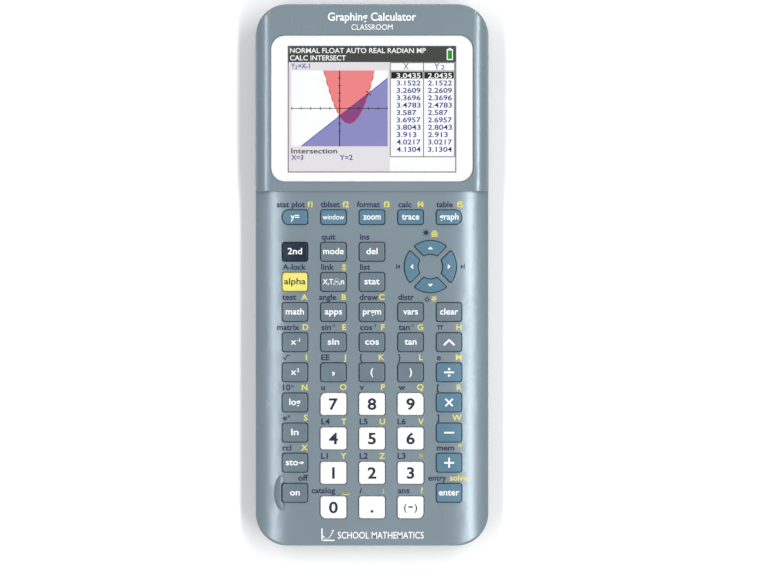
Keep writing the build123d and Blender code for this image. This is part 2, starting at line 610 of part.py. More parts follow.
def rear_shell():
    """The lower shell: battery bay, screw bosses, posts under the board, port and side grooves."""
    shell = rear_tub()
    ledge = (COVER_WIDTH + 2 * LEDGE_BORDER, COVER_LENGTH + 2 * LEDGE_BORDER)
    shell += block(*ledge, REAR_INSIDE, LEDGE_TOP, 0, COVER_Y)
    bay = (BAY_WIDTH + 2 * BAY_WALL, BAY_LENGTH + 2 * BAY_WALL)
    shell += block(*bay, REAR_INSIDE, BAY_TOP, 0, BAY_Y)
    shell += [rod(COVER_BOSS_RADIUS, REAR_INSIDE, COVER_BOSS_TOP, *p) for p in COVER_SCREW_PLACES]
    recess = SCREW_HEAD_RADIUS + HEAD_RECESS_GAP
    inside = body_block(SIDE_WALL / 2, REAR_INSIDE - REAR_WALL / 2, PARTING_HEIGHT)
    bosses = [rod(recess + BOSS_WALL, REAR_FACE, POST_FOOT, *p) & inside for p in POST_PLACES]
    shell += bosses
    shell += [rod(BOARD_POST_RADIUS, REAR_INSIDE, BOARD_UNDER, *p) for p in BOARD_POSTS]
    sleeve = RESET_FLANGE_RADIUS + RESET_CLEARANCE
    shell += rod(sleeve + RESET_SLEEVE_WALL, REAR_INSIDE, RESET_SLEEVE_TOP, 0, RESET_Y)

    shell -= rounded_block(
        COVER_WIDTH + 2 * COVER_GAP, COVER_LENGTH + 2 * COVER_GAP, COVER_CORNER + COVER_GAP,
        BELOW, REAR_INSIDE, 0, COVER_Y,
    )
    shell -= block(BAY_WIDTH, BAY_LENGTH, BELOW, BAY_INSIDE_TOP, 0, BAY_Y)
    ceiling_hole = (JACK_SIZE[0] + 2 * CEILING_GAP, JACK_SIZE[1] + 2 * CEILING_GAP)
    shell -= block(*ceiling_hole, BAY_INSIDE_TOP - 1, BAY_TOP + 1, JACK_X, JACK_Y)
    for tab in cover_tabs(COVER_GAP):
        shell -= tab
    bite = SCREW_RADIUS + SCREW_CLEARANCE
    bite_top = REAR_FACE + COVER_SCREW_SEAT + COVER_SCREW_LENGTH + SCREW_HOLE_SPARE
    shell -= [rod(bite, BELOW, bite_top, *place) for place in COVER_SCREW_PLACES]
    for place in POST_PLACES:
        shell -= rod(recess, BELOW, SCREW_SEAT, *place)
        shell -= rod(SCREW_RADIUS + SCREW_PASS_GAP, BELOW, POST_FOOT + 1, *place)
    shell -= rod(RESET_RADIUS + RESET_CLEARANCE, BELOW, ABOVE, 0, RESET_Y)
    shell -= rod(sleeve, REAR_INSIDE, ABOVE, 0, RESET_Y)
    shell -= port_opening()
    light_hole = Rot(0, 90, 0) * Cylinder(LIGHT_RADIUS + LIGHT_CLEARANCE, 4 * SIDE_WALL)
    shell -= Pos(HALF_WIDTH, LIGHT_Y, LIGHT_HEIGHT) * light_hole
    groove_length = BODY_LENGTH - GROOVE_END_INSET
    groove_y = -GROOVE_END_INSET / 2 - 1
    for side in SIDES:
        x = side * HALF_WIDTH
        shell -= block(2 * GROOVE_DEPTH, groove_length + 2, GROOVE_LOW, GROOVE_HIGH, x, groove_y)
    pocket = REAR_FACE + FOOT_POCKET
    shell -= [rod(FOOT_RADIUS, BELOW, pocket, *place) for place in FOOT_PLACES]
    return shell


def rubber_feet():
    """Four feet bedded in shallow pockets in the rear face."""
    feet = []
    for place in FOOT_PLACES:
        foot = rod(FOOT_RADIUS, 0, REAR_FACE + FOOT_POCKET, *place)
        feet.append(fillet(foot.faces().sort_by(Axis.Z)[0].edges(), FOOT_EDGE))
    return feet


def battery_door():
    """The cover of the battery bay: two tabs at one end, two screws at the other, grip ridges."""
    door = rounded_block(COVER_WIDTH, COVER_LENGTH, COVER_CORNER, REAR_FACE, REAR_INSIDE, 0, COVER_Y)
    for tab in cover_tabs(0.0):
        door += tab
    for place in COVER_SCREW_PLACES:
        door -= rod(SCREW_HEAD_RADIUS + HEAD_RECESS_GAP, BELOW, REAR_FACE + COVER_SCREW_SEAT, *place)
        door -= rod(SCREW_RADIUS + SCREW_PASS_GAP, BELOW, ABOVE, *place)
    width, length, depth = GRIP_SIZE
    for index in range(GRIP_COUNT):
        y = COVER_Y + COVER_LENGTH / 2 - GRIP_INSET - index * GRIP_PITCH
        door -= block(width, length, BELOW, REAR_FACE + depth, 0, y)
    return door


def one_screw(place, seat, head_height, length):
    """A pan-head screw driven upwards from the back; the seat is the height under its head."""
    head = rod(SCREW_HEAD_RADIUS, seat - head_height, seat, *place)
    head = fillet(head.faces().sort_by(Axis.Z)[0].edges(), head_height / 3)
    screw = head + rod(SCREW_RADIUS, seat - head_height / 2, seat + length, *place)
    slot_length, slot_width, depth = SCREW_SLOT
    for size in ((slot_length, slot_width), (slot_width, slot_length)):
        screw -= block(*size, BELOW, seat - head_height + depth, *place)
    return screw


def all_screws():
    """Six screws that hold the shells together and two short ones in the battery cover."""
    screws = [one_screw(p, SCREW_SEAT, SCREW_HEAD_HEIGHT, SCREW_LENGTH) for p in POST_PLACES]
    seat = REAR_FACE + COVER_SCREW_SEAT
    screws += [
        one_screw(p, seat, COVER_SCREW_HEAD_HEIGHT, COVER_SCREW_LENGTH) for p in COVER_SCREW_PLACES
    ]
    return screws


# ---------------------------------------------------------------- display
def clear_window():
    """The clear panel let into the head, flush with its face."""
    panel = rounded_block(
        WINDOW_WIDTH, WINDOW_LENGTH, WINDOW_CORNER, WINDOW_UNDER, HEAD_FACE, 0, WINDOW_Y
    )
    return chamfer(panel.faces().sort_by(Axis.Z)[-1].edges(), WINDOW_EDGE)


def flex_strip():
    """The ribbon from the display's lower edge down to its connector on the board."""
    start = WINDOW_Y - WINDOW_LENGTH / 2 + MODULE_MARGIN
    high = MODULE_UNDER + 3 * FLEX_THICKNESS
    low = BOARD_TOP + CONNECTOR_SIZE[2] / 2
    end = SEAM_Y - CONNECTOR_DROP + CONNECTOR_SIZE[1] / 2
    run = start - end
    path = Polyline((end, low), (end + run / 4, low), (start - run / 4, high), (start, high))
    upright = Plane(origin=(-FLEX_WIDTH / 2, 0, 0), x_dir=(0, 1, 0), z_dir=(1, 0, 0))
    return extrude(upright * trace(path, FLEX_THICKNESS), amount=FLEX_WIDTH)


def display_module():
    """The display: a framed backlight with the glass standing in it, and its ribbon."""
    frame = rounded_block(
        MODULE_WIDTH, WINDOW_LENGTH - 2 * MODULE_MARGIN, MODULE_CORNER,
        MODULE_UNDER, HEAD_INSIDE, 0, WINDOW_Y,
    )
    glass = block(GLASS_WIDTH, GLASS_LENGTH, GLASS_UNDER, GLASS_TOP, 0, WINDOW_Y)
    return [frame - glass, glass, flex_strip()]


# ---------------------------------------------------------------- board and key sheet
def main_board():
    """The circuit board, with a notch round each screw post."""
    board = rounded_block(
        BOARD_WIDTH, BOARD_LENGTH, BOARD_CORNER, BOARD_UNDER, BOARD_TOP, 0, BOARD_Y
    )
    for place in POST_PLACES:
        board -= rod(POST_RADIUS + BOARD_NOTCH, BELOW, ABOVE, *place)
    return board


def data_socket():
    """The small data socket under the board's edge, open to the side, with its tongue."""
    depth, width, height = SOCKET_SIZE
    x = HALF_WIDTH - SOCKET_SETBACK - depth / 2
    low = BOARD_UNDER - height
    shell = block(depth, width, low, BOARD_UNDER, x, PORT_Y)
    mouth = (depth, width - 2 * SOCKET_WALL)
    shell -= block(*mouth, low + SOCKET_WALL, BOARD_UNDER - SOCKET_WALL, x + SOCKET_BACK, PORT_Y)
    length, tongue_width, tongue_height = SOCKET_TONGUE
    tongue_low = BOARD_UNDER - height / 2 - tongue_height / 2
    start = x - depth / 2 + SOCKET_BACK
    tongue = block(
        length, tongue_width, tongue_low, tongue_low + tongue_height, start + length / 2, PORT_Y
    )
    return shell + tongue


def charge_light():
    """The charge light: a body under the board's edge with a short light guide into the wall."""
    depth, width, height = LIGHT_BODY
    start = HALF_WIDTH - BOARD_SIDE_MARGIN - depth / 2
    body = block(depth, width, BOARD_UNDER - height, BOARD_UNDER, start, LIGHT_Y)
    length = HALF_WIDTH - LIGHT_TIP - start
    guide = Rot(0, 90, 0) * Cylinder(LIGHT_RADIUS, length)
    return body + Pos(start + length / 2, LIGHT_Y, LIGHT_HEIGHT) * guide


def battery_jack():
    """The side-entry jack that the battery's plug goes into."""
    jack = Pos(JACK_X, JACK_Y, JACK_Z) * Box(*JACK_SIZE)
    inside = (JACK_DEPTH, JACK_SIZE[1] - 2 * JACK_WALL, JACK_SIZE[2] - 2 * JACK_WALL)
    mouth_x = JACK_X - JACK_SIZE[0] / 2 + JACK_DEPTH / 2
    return jack - Pos(mouth_x, JACK_Y, JACK_Z) * Box(*inside)


def board_parts():
    """Everything soldered to the board: chips, sockets, charge light, switch and connector."""
    parts = [data_socket(), charge_light(), battery_jack()]
    for x, drop, width, length, height in CHIP_DROPS:
        parts.append(block(width, length, BOARD_UNDER - height, BOARD_UNDER, x, SEAM_Y - drop))
    width, length, height = SWITCH_SIZE
    switch = block(width, length, SWITCH_UNDER, BOARD_UNDER, 0, RESET_Y)
    bore = RESET_RADIUS + RESET_CLEARANCE
    parts.append(switch - rod(bore, BELOW, SWITCH_UNDER + SWITCH_BORE, 0, RESET_Y))
    width, length, height = CONNECTOR_SIZE
    connector_y = SEAM_Y - CONNECTOR_DROP
    parts.append(block(width, length, BOARD_TOP, BOARD_TOP + height, 0, connector_y))
    return parts


def key_sheet():
    """The rubber sheet over the board, with a hollow dome under every key."""
    width = 2 * (column_x(4) + SHEET_MARGIN)
    high = SEAM_Y - CONNECTOR_DROP - CONNECTOR_SIZE[1] / 2 - SHEET_CONNECTOR_GAP
    low = NUMBER_ROW_Y - (len(NUMBER_ROWS) - 1) * NUMBER_PITCH - SHEET_END_MARGIN
    sheet = rounded_block(width, high - low, KEY_CORNER, BOARD_TOP, SHEET_TOP, 0, (high + low) / 2)
    rise = KEY_FOOT - SHEET_TOP
    dome = Cone(DOME_BASE, DOME_TOP, rise)
    cavity = Cone(DOME_BASE - DOME_WALL, DOME_TOP - DOME_WALL, KEY_FOOT - BOARD_TOP - DOME_WALL)
    middle = (BOARD_TOP + KEY_FOOT - DOME_WALL) / 2
    for x, y in dome_places():
        sheet += Pos(x, y, SHEET_TOP + rise / 2) * dome
        sheet -= Pos(x, y, middle) * cavity
    return sheet


# ---------------------------------------------------------------- battery and reset plunger
def plug_and_wires():
    """The plug in the jack and the two wires that run from it round to the battery's end."""
    width = JACK_SIZE[1] - 2 * JACK_WALL - 2 * PLUG_GAP
    height = JACK_SIZE[2] - 2 * JACK_WALL - 2 * PLUG_GAP
    start = JACK_X - JACK_SIZE[0] / 2 + PLUG_INSERTED - PLUG_LENGTH
    plug = Pos(start + PLUG_LENGTH / 2, JACK_Y, JACK_Z) * Box(PLUG_LENGTH, width, height)
    end_y = BATTERY_Y + BATTERY_LENGTH / 2
    pieces = [plug]
    for side in SIDES:
        y = JACK_Y + side * WIRE_PITCH / 2
        x = start - WIRE_RUN - side * WIRE_PITCH / 2
        route = FilletPolyline(
            (start, y, JACK_Z), (x, y, JACK_Z), (x, end_y, JACK_Z), radius=WIRE_BEND
        )
        section = Plane(origin=(start, y, JACK_Z), z_dir=(-1, 0, 0)) * Circle(WIRE_RADIUS)
        pieces.append(sweep(section, path=route))
    return pieces


def battery_block():
    """The flat rechargeable cell, with rounded long edges, and its lead."""
    cell = block(
        BATTERY_WIDTH, BATTERY_LENGTH, BATTERY_LOW, BATTERY_LOW + BATTERY_THICKNESS, 0, BATTERY_Y
    )
    cell = fillet(cell.edges().filter_by(Axis.Y), BATTERY_EDGE)
    return [cell, *plug_and_wires()]


def reset_plunger():
    """The plunger behind the small hole in the back; its stem stands in the switch."""
    tip = rod(RESET_RADIUS, REAR_FACE + RESET_RECESS, SWITCH_UNDER + RESET_ENGAGED, 0, RESET_Y)
    return tip + rod(
        RESET_FLANGE_RADIUS, REAR_INSIDE, REAR_INSIDE + RESET_FLANGE_HEIGHT, 0, RESET_Y
    )


# ---------------------------------------------------------------- every node
def every_node():
    """All the nodes by name, each a solid or a list of solids that belong together."""
    nodes = {
        "front_case": front_shell(),
        "rear_case": [rear_shell(), *rubber_feet()],
        "display_window": clear_window(),
        "display_module": display_module(),
        "key_membrane": key_sheet(),
        "circuit_board": [main_board(), *board_parts()],
        "battery_pack": battery_block(),
        "battery_cover": battery_door(),
        "case_screws": all_screws(),
        "reset_button": reset_plunger(),
    }
    for name, place, size, end_radius, ends in KEYS:
        nodes["key_" + name] = rectangular_key(place, size, end_radius, ends)
    for name, direction in ARROWS.items():
        nodes["key_arrow_" + name] = arrow_key(direction)
    return nodes


os.makedirs("parts", exist_ok=True)
for node, shape in every_node().items():
    if isinstance(shape, list):
        shape = Compound(children=shape)
    export_step(shape, f"parts/{node}.step")
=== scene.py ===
"""A pocket graphing calculator lying on its back on a pale table.

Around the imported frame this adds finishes, printed legends, the picture on the display, the rubber
domes under the keys, soft light and a camera. Lengths are in metres; +Z is out of the calculator's face.
"""

import json
from math import cos, pi, sin, sqrt

import bmesh
import bpy
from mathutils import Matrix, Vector


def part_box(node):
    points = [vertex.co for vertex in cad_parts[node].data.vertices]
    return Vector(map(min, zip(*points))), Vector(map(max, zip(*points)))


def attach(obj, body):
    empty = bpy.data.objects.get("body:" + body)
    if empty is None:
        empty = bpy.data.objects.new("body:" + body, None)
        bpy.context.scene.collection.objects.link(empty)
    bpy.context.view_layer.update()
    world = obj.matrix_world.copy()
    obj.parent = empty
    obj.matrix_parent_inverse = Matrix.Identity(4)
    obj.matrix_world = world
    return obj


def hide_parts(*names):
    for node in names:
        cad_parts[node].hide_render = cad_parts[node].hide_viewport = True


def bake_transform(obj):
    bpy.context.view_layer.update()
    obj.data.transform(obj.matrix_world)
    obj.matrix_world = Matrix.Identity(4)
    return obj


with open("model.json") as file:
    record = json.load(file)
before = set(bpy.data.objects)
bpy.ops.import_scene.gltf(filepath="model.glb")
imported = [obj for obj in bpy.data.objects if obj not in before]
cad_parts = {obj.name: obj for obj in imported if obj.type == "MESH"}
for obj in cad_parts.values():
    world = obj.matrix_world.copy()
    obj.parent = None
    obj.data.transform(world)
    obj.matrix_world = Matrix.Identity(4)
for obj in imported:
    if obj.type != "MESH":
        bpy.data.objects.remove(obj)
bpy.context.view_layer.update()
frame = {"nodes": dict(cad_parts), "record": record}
nodes = frame["nodes"]

MM = 0.001
ROOT = "calculator"


# ---------------------------------------------------------------- shader maths
class Wire:
    """A shader socket that can stand in arithmetic; each operator adds its Math node."""

    def __init__(self, finish, socket):
        self.finish = finish
        self.socket = socket

    def __add__(self, other):
        return self.finish.maths("ADD", self, other)

    def __radd__(self, other):
        return self.finish.maths("ADD", other, self)

    def __sub__(self, other):
        return self.finish.maths("SUBTRACT", self, other)

    def __rsub__(self, other):
        return self.finish.maths("SUBTRACT", other, self)

    def __mul__(self, other):
        return self.finish.maths("MULTIPLY", self, other)

    def __rmul__(self, other):
        return self.finish.maths("MULTIPLY", other, self)

    def __truediv__(self, other):
        return self.finish.maths("DIVIDE", self, other)


class Finish:
    """A material: its Principled shader, and one method that adds any other node."""

    def __init__(self, name, color, roughness, **constants):
        self.material = bpy.data.materials.new(name)
        self.material.use_nodes = True
        self.tree = self.material.node_tree
        self.shader = self.tree.nodes["Principled BSDF"]
        self.shader.inputs["Base Color"].default_value = (*color, 1.0)
        self.shader.inputs["Roughness"].default_value = roughness
        for socket, value in constants.items():
            self.shader.inputs[socket.replace("_", " ")].default_value = value
        self.places = None

    def node(self, kind, settings=None, sockets=None, output=0):
        """Add a node, set its settings and feed its sockets with values or wires."""
        made = self.tree.nodes.new(kind)
        for name, value in (settings or {}).items():
            setattr(made, name, value)
        for key, value in (sockets or {}).items():
            if isinstance(value, Wire):
                self.tree.links.new(value.socket, made.inputs[key])
            else:
                made.inputs[key].default_value = value
        return Wire(self, made.outputs[output])

    def maths(self, operation, first, second=0.0):
        """One Math node."""
        return self.node("ShaderNodeMath", {"operation": operation}, {0: first, 1: second})

    def feed(self, socket, wire):
        """Link a wire to one of the shader's sockets."""
        self.tree.links.new(wire.socket, self.shader.inputs[socket])

    def where(self):
        """Places on the object, in metres, the same for every piece."""
        if self.places is None:
            self.places = self.node("ShaderNodeTexCoord", output="Object")
        return self.places

    def noise(self, scale, detail=2.0, stretch=None):
        """Soft noise between 0 and 1, with about scale waves to the metre."""
        place = self.where()
        if stretch:
            place = self.node(
                "ShaderNodeVectorMath", {"operation": "MULTIPLY"}, {0: place, 1: stretch}
            )
        return self.node(
            "ShaderNodeTexNoise", sockets={"Vector": place, "Scale": scale, "Detail": detail}
        )

    def spread(self, wire, low, high, new_low=0.0, new_high=1.0):
        """Stretch the part of a wire between low and high over a new range."""
        limits = {0: wire, 1: low, 2: high, 3: new_low, 4: new_high}
        return self.node("ShaderNodeMapRange", sockets=limits)

    def mix(self, factor, first, second):
        """Mix two colours."""
        colors = [c if isinstance(c, Wire) else (*c, 1.0) for c in (first, second)]
        sockets = {"Factor": factor, 6: colors[0], 7: colors[1]}
        return self.node("ShaderNodeMix", {"data_type": "RGBA"}, sockets, output=2)

    def bump(self, height, distance, strength=1.0):
        """Feed the shader's Normal with a bump of about distance in depth."""
        sockets = {"Height": height, "Distance": distance, "Strength": strength}
        self.feed("Normal", self.node("ShaderNodeBump", sockets=sockets))


def from_screen(red, green, blue, share=1.0):
    """A linear colour from the 0 to 255 values a screen shows, times a share."""
    return tuple(
        share * (value / 12.92 if value <= 0.04045 else ((value + 0.055) / 1.055) ** 2.4)
        for value in (red / 255, green / 255, blue / 255)
    )


def tinted(color, amount):
    """A colour made lighter or darker by a share."""
    return tuple(min(1.0, channel * (1 + amount)) for channel in color)


# ---------------------------------------------------------------- finishes
def moulded_plastic(name, color, roughness, grain, tone=0.05, grain_depth=0.006 * MM, fleck=0.0):
    """Satin moulded plastic: a fine grain, slow changes of tone, and scattered faint scuffs.

    fleck is how much of its shine comes from metal powder in the plastic.
    """
    finish = Finish(name, color, roughness, Specular_IOR_Level=0.5, Metallic=fleck)
    slow = finish.noise(38.0, 3.0)
    fine = finish.noise(grain, 3.0)
    blend = finish.spread(slow * 0.7 + fine * 0.3, 0.3, 0.7)
    finish.feed("Base Color", finish.mix(blend, tinted(color, -tone), tinted(color, tone)))
    scuff = finish.spread(finish.noise(420.0, 4.0, (1.0, 0.25, 1.0)), 0.62, 0.74)
    sheen = finish.spread(slow, 0.2, 0.8, roughness - 0.03, roughness + 0.03)
    finish.feed("Roughness", sheen + scuff * 0.025)
    finish.bump(fine + finish.noise(grain * 2.7, 2.0) * 0.5, grain_depth)
    return finish.material


def key_plastic(name, color, roughness=0.3):
    """Key plastic: finer and smoother than the case, polished a little by fingers."""
    finish = Finish(name, color, roughness, Specular_IOR_Level=0.4)
    slow = finish.noise(150.0, 2.0)
    fine = finish.noise(5200.0, 2.0)
    tone = finish.spread(slow * 0.8 + fine * 0.2, 0.3, 0.7)
    finish.feed("Base Color", finish.mix(tone, tinted(color, -0.03), tinted(color, 0.03)))
    finish.feed("Roughness", finish.spread(slow, 0.25, 0.75, roughness - 0.05, roughness + 0.06))
    finish.bump(fine, 0.0015 * MM)
    return finish.material


def ink_and_painted_shade(name, color, roughness=0.45):
    """Printed ink, and painted shade round the display's picture: slightly uneven cover and a dry surface."""
    finish = Finish(name, color, roughness, Specular_IOR_Level=0.3)
    patch = finish.spread(finish.noise(2600.0, 3.0), 0.35, 0.7)
    finish.feed("Base Color", finish.mix(patch, color, tinted(color, -0.07)))
    finish.feed("Roughness", patch * 0.12 + roughness)
    finish.bump(finish.noise(6000.0, 1.0), 0.002 * MM)
    return finish.material


def soft_rubber(name, color):
    """Matt rubber with a dusty bloom."""
    finish = Finish(name, color, 0.8, Specular_IOR_Level=0.3)
    dust = finish.spread(finish.noise(900.0, 4.0), 0.4, 0.75)
    finish.feed("Base Color", finish.mix(dust, color, tinted(color, 0.35)))
    finish.feed("Roughness", dust * 0.12 + 0.74)
    finish.bump(finish.noise(2400.0, 3.0), 0.01 * MM)
    return finish.material


def plated_metal(name, color, roughness):
    """Plated metal, slightly uneven, with a few dull spots."""
    finish = Finish(name, color, roughness, Metallic=1.0)
    fine = finish.noise(1500.0, 3.0)
    spots = finish.spread(finish.noise(700.0, 3.0), 0.6, 0.75)
    finish.feed("Base Color", finish.mix(spots, color, tinted(color, -0.3)))
    sheen = finish.spread(fine, 0.3, 0.7, roughness - 0.06, roughness + 0.08)
    finish.feed("Roughness", sheen + spots * 0.15)
    finish.bump(fine, 0.002 * MM)
    return finish.material


def clear_panel(name):
    """The display's clear panel: nearly see-through face on, a mirror at a glancing angle.

    Its alpha is the share of light it reflects, so what shows through that alpha is all reflection.
    """
    finish = Finish(name, from_screen(250, 252, 255), 0.06, Metallic=1.0)
    facing = finish.node("ShaderNodeLayerWeight", sockets={"Blend": 0.5}, output=1)
    glance = finish.maths("POWER", facing, 5.0) * 0.9 + 0.03
    smears = finish.spread(finish.noise(120.0, 3.0), 0.3, 0.8, 0.0, 0.01)
    finish.feed("Alpha", glance + smears)
    finish.feed("Roughness", finish.spread(finish.noise(220.0, 3.0), 0.3, 0.8, 0.04, 0.1))
    finish.material.surface_render_method = "BLENDED"
    return finish.material


def lit_picture(name, color, glow=0.55):
    """One colour of the lit display: a faint grid of picture cells, and its own light."""
    finish = Finish(name, color, 0.5, Emission_Strength=glow, Specular_IOR_Level=0.1)
    pitch = 2 * pi / DOT
    split = finish.node("ShaderNodeSeparateXYZ", sockets={0: finish.where()})
    across = Wire(finish, split.socket.node.outputs[0])
    along = Wire(finish, split.socket.node.outputs[1])
    waves = [finish.maths("COSINE", axis * pitch) for axis in (across, along)]
    grid = finish.spread(waves[0] + waves[1], -2.0, 2.0)
    finish.feed("Base Color", finish.mix(grid, tinted(color, -glow - 0.06), tinted(color, -glow)))
    finish.feed("Emission Color", finish.mix(grid, tinted(color, -0.06), color))
    finish.feed("Roughness", finish.spread(finish.noise(300.0), 0.3, 0.7, 0.45, 0.55))
    return finish.material


def board_resist(name):
    """Circuit board resist with buried tracks."""
    deep, track = from_screen(28, 84, 50), from_screen(52, 122, 72)
    finish = Finish(name, deep, 0.3, Specular_IOR_Level=0.6)
    rows = finish.node(
        "ShaderNodeTexBrick", sockets={"Vector": finish.where(), "Scale": 260.0, "Mortar Size": 0.03},
        output="Fac",
    )
    finish.feed("Base Color", finish.mix(rows, deep, track))
    finish.feed("Roughness", finish.spread(finish.noise(300.0), 0.3, 0.7, 0.25, 0.4))
    finish.bump(rows, 0.02 * MM)
    return finish.material


def table_top(name):
    """A pale, even surface with the faintest mottle."""
    finish = Finish(name, (0.93, 0.93, 0.93), 0.7, Specular_IOR_Level=0.2)
    mottle = finish.noise(25.0, 3.0)
    finish.feed("Base Color", finish.mix(mottle, (0.93, 0.93, 0.93), (0.96, 0.96, 0.96)))
    finish.feed("Roughness", finish.spread(mottle, 0.2, 0.8, 0.65, 0.75))
    return finish.material


# ---------------------------------------------------------------- sizes read from the frame
case_low, case_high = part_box("front_case")
window_low, window_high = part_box("display_window")
sample_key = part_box("key_mode")
KEY_FLANGE = 0.6 * MM  # each key's flange reaches this far past its cap
KEY_RISE = 1.0 * MM
KEYPAD_FACE = sample_key[1].z - KEY_RISE
HEAD_FACE = window_high.z
KEYPAD_ROLL = (16.4 * MM, 5.2 * MM, 1.2 * MM)  # reach, depth and overshoot of the side roll-off
INK_DEPTH = 0.03 * MM
INK_BURIED = 0.01 * MM
DOTS_ACROSS, DOTS_DOWN = 320, 240
PICTURE_WIDTH = 56.9 * MM
DOT = PICTURE_WIDTH / DOTS_ACROSS
PICTURE_X = 0.0
PICTURE_Y = (window_low.y + window_high.y) / 2 - 0.2 * MM

CASE = from_screen(127, 142, 151)
NAVY = from_screen(18, 26, 72)
YELLOW = from_screen(222, 214, 100)
WHITE = from_screen(250, 250, 250)


def keypad_height(x, face):
    """Height of the crowned keypad, or of key tops that follow it, at a distance across."""
    reach, depth, overshoot = KEYPAD_ROLL
    past = abs(x) - (case_high.x + overshoot - reach)
    if past <= 0:
        return face
    return face - depth * (1 - sqrt(1 - min(past / reach, 1.0) ** 2))


# ---------------------------------------------------------------- pieces
def add_piece(name, mesh, materials, body, smooth=False):
    """Link a mesh as a piece that rides on a body, or on none yet."""
    piece = bpy.data.objects.new(name, mesh)
    bpy.context.scene.collection.objects.link(piece)
    for material in materials:
        mesh.materials.append(material)
    for polygon in mesh.polygons:
        polygon.use_smooth = smooth
    if body:
        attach(piece, body)
    return piece


def rounded_outline(width, length, radius, steps=8):
    """Points round a rectangle with rounded corners, centred on the origin."""
    points = []
    corners = ((1, 1), (-1, 1), (-1, -1), (1, -1))
    for index, (sx, sy) in enumerate(corners):
        for step in range(steps + 1):
            angle = (index + step / steps) * pi / 2
            x = sx * (width / 2 - radius) + radius * cos(angle)
            y = sy * (length / 2 - radius) + radius * sin(angle)
            points.append((x, y))
    return points


def moved(points, x, y):
    """Points moved across."""
    return [(px + x, py + y) for px, py in points]


def stroke(points, width):
    """Quads along a line of points, each run with square ends lapping the corners."""
    quads = []
    for start, end in zip(points, points[1:]):
        along = (Vector(end) - Vector(start)).normalized() * width / 2
        side = Vector((-along.y, along.x))
        a, b = Vector(start) - along * 0.5, Vector(end) + along * 0.5
        quads.append([tuple(p) for p in (a - side, b - side, b + side, a + side)])
    return quads


class Ink:
    """Thin raised shapes and lettering printed on a surface, gathered into one mesh."""

    def __init__(self, height, depth=INK_DEPTH):
        self.mesh = bmesh.new()
        self.height = height
        self.depth = depth

    def heights(self, x):
        """Bottom and top of the ink at a distance across."""
        here = self.height(x)
        return here - INK_BURIED, here + self.depth

    def shape(self, points):
        """A closed slab over a flat outline."""
        rings = []
        for level in (0, 1):
            rings.append([self.mesh.verts.new((x, y, self.heights(x)[level])) for x, y in points])
        bottom, top = rings
        self.mesh.faces.new(top)
        self.mesh.faces.new(bottom[::-1])
        for index in range(len(points)):
            after = (index + 1) % len(points)
            self.mesh.faces.new((bottom[index], bottom[after], top[after], top[index]))

    def lines(self, points, width):
        """A line of even width."""
        for quad in stroke(points, width):
            self.shape(quad)

    def text(self, words, x, y, size, align="CENTER", bold=0.02, wide=1.0, lean=0.0, width=None):
        """Lettering whose capitals are about 0.7 of size tall, standing on y. Returns its width.

        x is the ink's left edge, middle or right edge; a stated width stretches the ink to fill it.
        """
        curve = bpy.data.curves.new("lettering", "FONT")
        curve.body = words
        curve.offset = bold
        curve.extrude = 0.5
        curve.resolution_u = 4
        curve.shear = lean
        holder = bpy.data.objects.new("lettering", curve)
        flat = bpy.data.meshes.new_from_object(holder)
        bpy.data.objects.remove(holder)
        bpy.data.curves.remove(curve)
        left = min(vertex.co.x for vertex in flat.vertices)
        natural = max(vertex.co.x for vertex in flat.vertices) - left
        width = width or natural * size * wide
        start = x - width * {"LEFT": 0.0, "CENTER": 0.5, "RIGHT": 1.0}[align]
        for vertex in flat.vertices:
            vx = start + (vertex.co.x - left) * width / natural
            vertex.co = (vx, y + vertex.co.y * size, self.heights(vx)[vertex.co.z > 0])
        self.mesh.from_mesh(flat)
        bpy.data.meshes.remove(flat)
        return width

    def piece(self, name, materials, body, slot):
        """Finish the mesh as a piece."""
        bmesh.ops.remove_doubles(self.mesh, verts=self.mesh.verts, dist=1e-7)
        mesh = bpy.data.meshes.new(name)
        self.mesh.to_mesh(mesh)
        self.mesh.free()
        return add_piece(name, mesh, materials, body)


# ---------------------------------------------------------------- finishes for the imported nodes
blue_key = key_plastic("blue_key_plastic", from_screen(85, 121, 142))
grey_key = key_plastic("grey_key_plastic", from_screen(102, 118, 128))
navy_key = key_plastic("navy_key_plastic", from_screen(16, 30, 54))
yellow_key = key_plastic("yellow_key_plastic", from_screen(228, 218, 112))
white_key = key_plastic("white_key_plastic", from_screen(237, 238, 238))
KEY_FINISHES = {
    "blue_key": blue_key,
    "grey_key": grey_key,
    "navy_key": navy_key,
    "yellow_key": yellow_key,
    "white_key": white_key,
}
slots = {entry["node"]: entry["material_slot"] for entry in frame["record"]["subparts"]}
key_names = sorted(name for name in nodes if slots[name] in KEY_FINISHES)


def dress(node, material, patches=()):
    """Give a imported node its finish; patches are (test of a face's middle, finish)."""
    mesh = nodes[node].data
    mesh.materials.clear()
    mesh.materials.append(material)
    for polygon in mesh.polygons:
        polygon.material_index = 0
    for index, (test, patch) in enumerate(patches, start=1):
        mesh.materials.append(patch)
        for polygon in mesh.polygons:
            if test(polygon.center):
                polygon.material_index = index


def within(low, high):
    """A test for a face's middle: is it inside a box given in millimetres."""
    return lambda c: all(a * MM <= v <= b * MM for a, v, b in zip(low, c, high))


for name in key_names:
    dress(name, KEY_FINISHES[slots[name]])

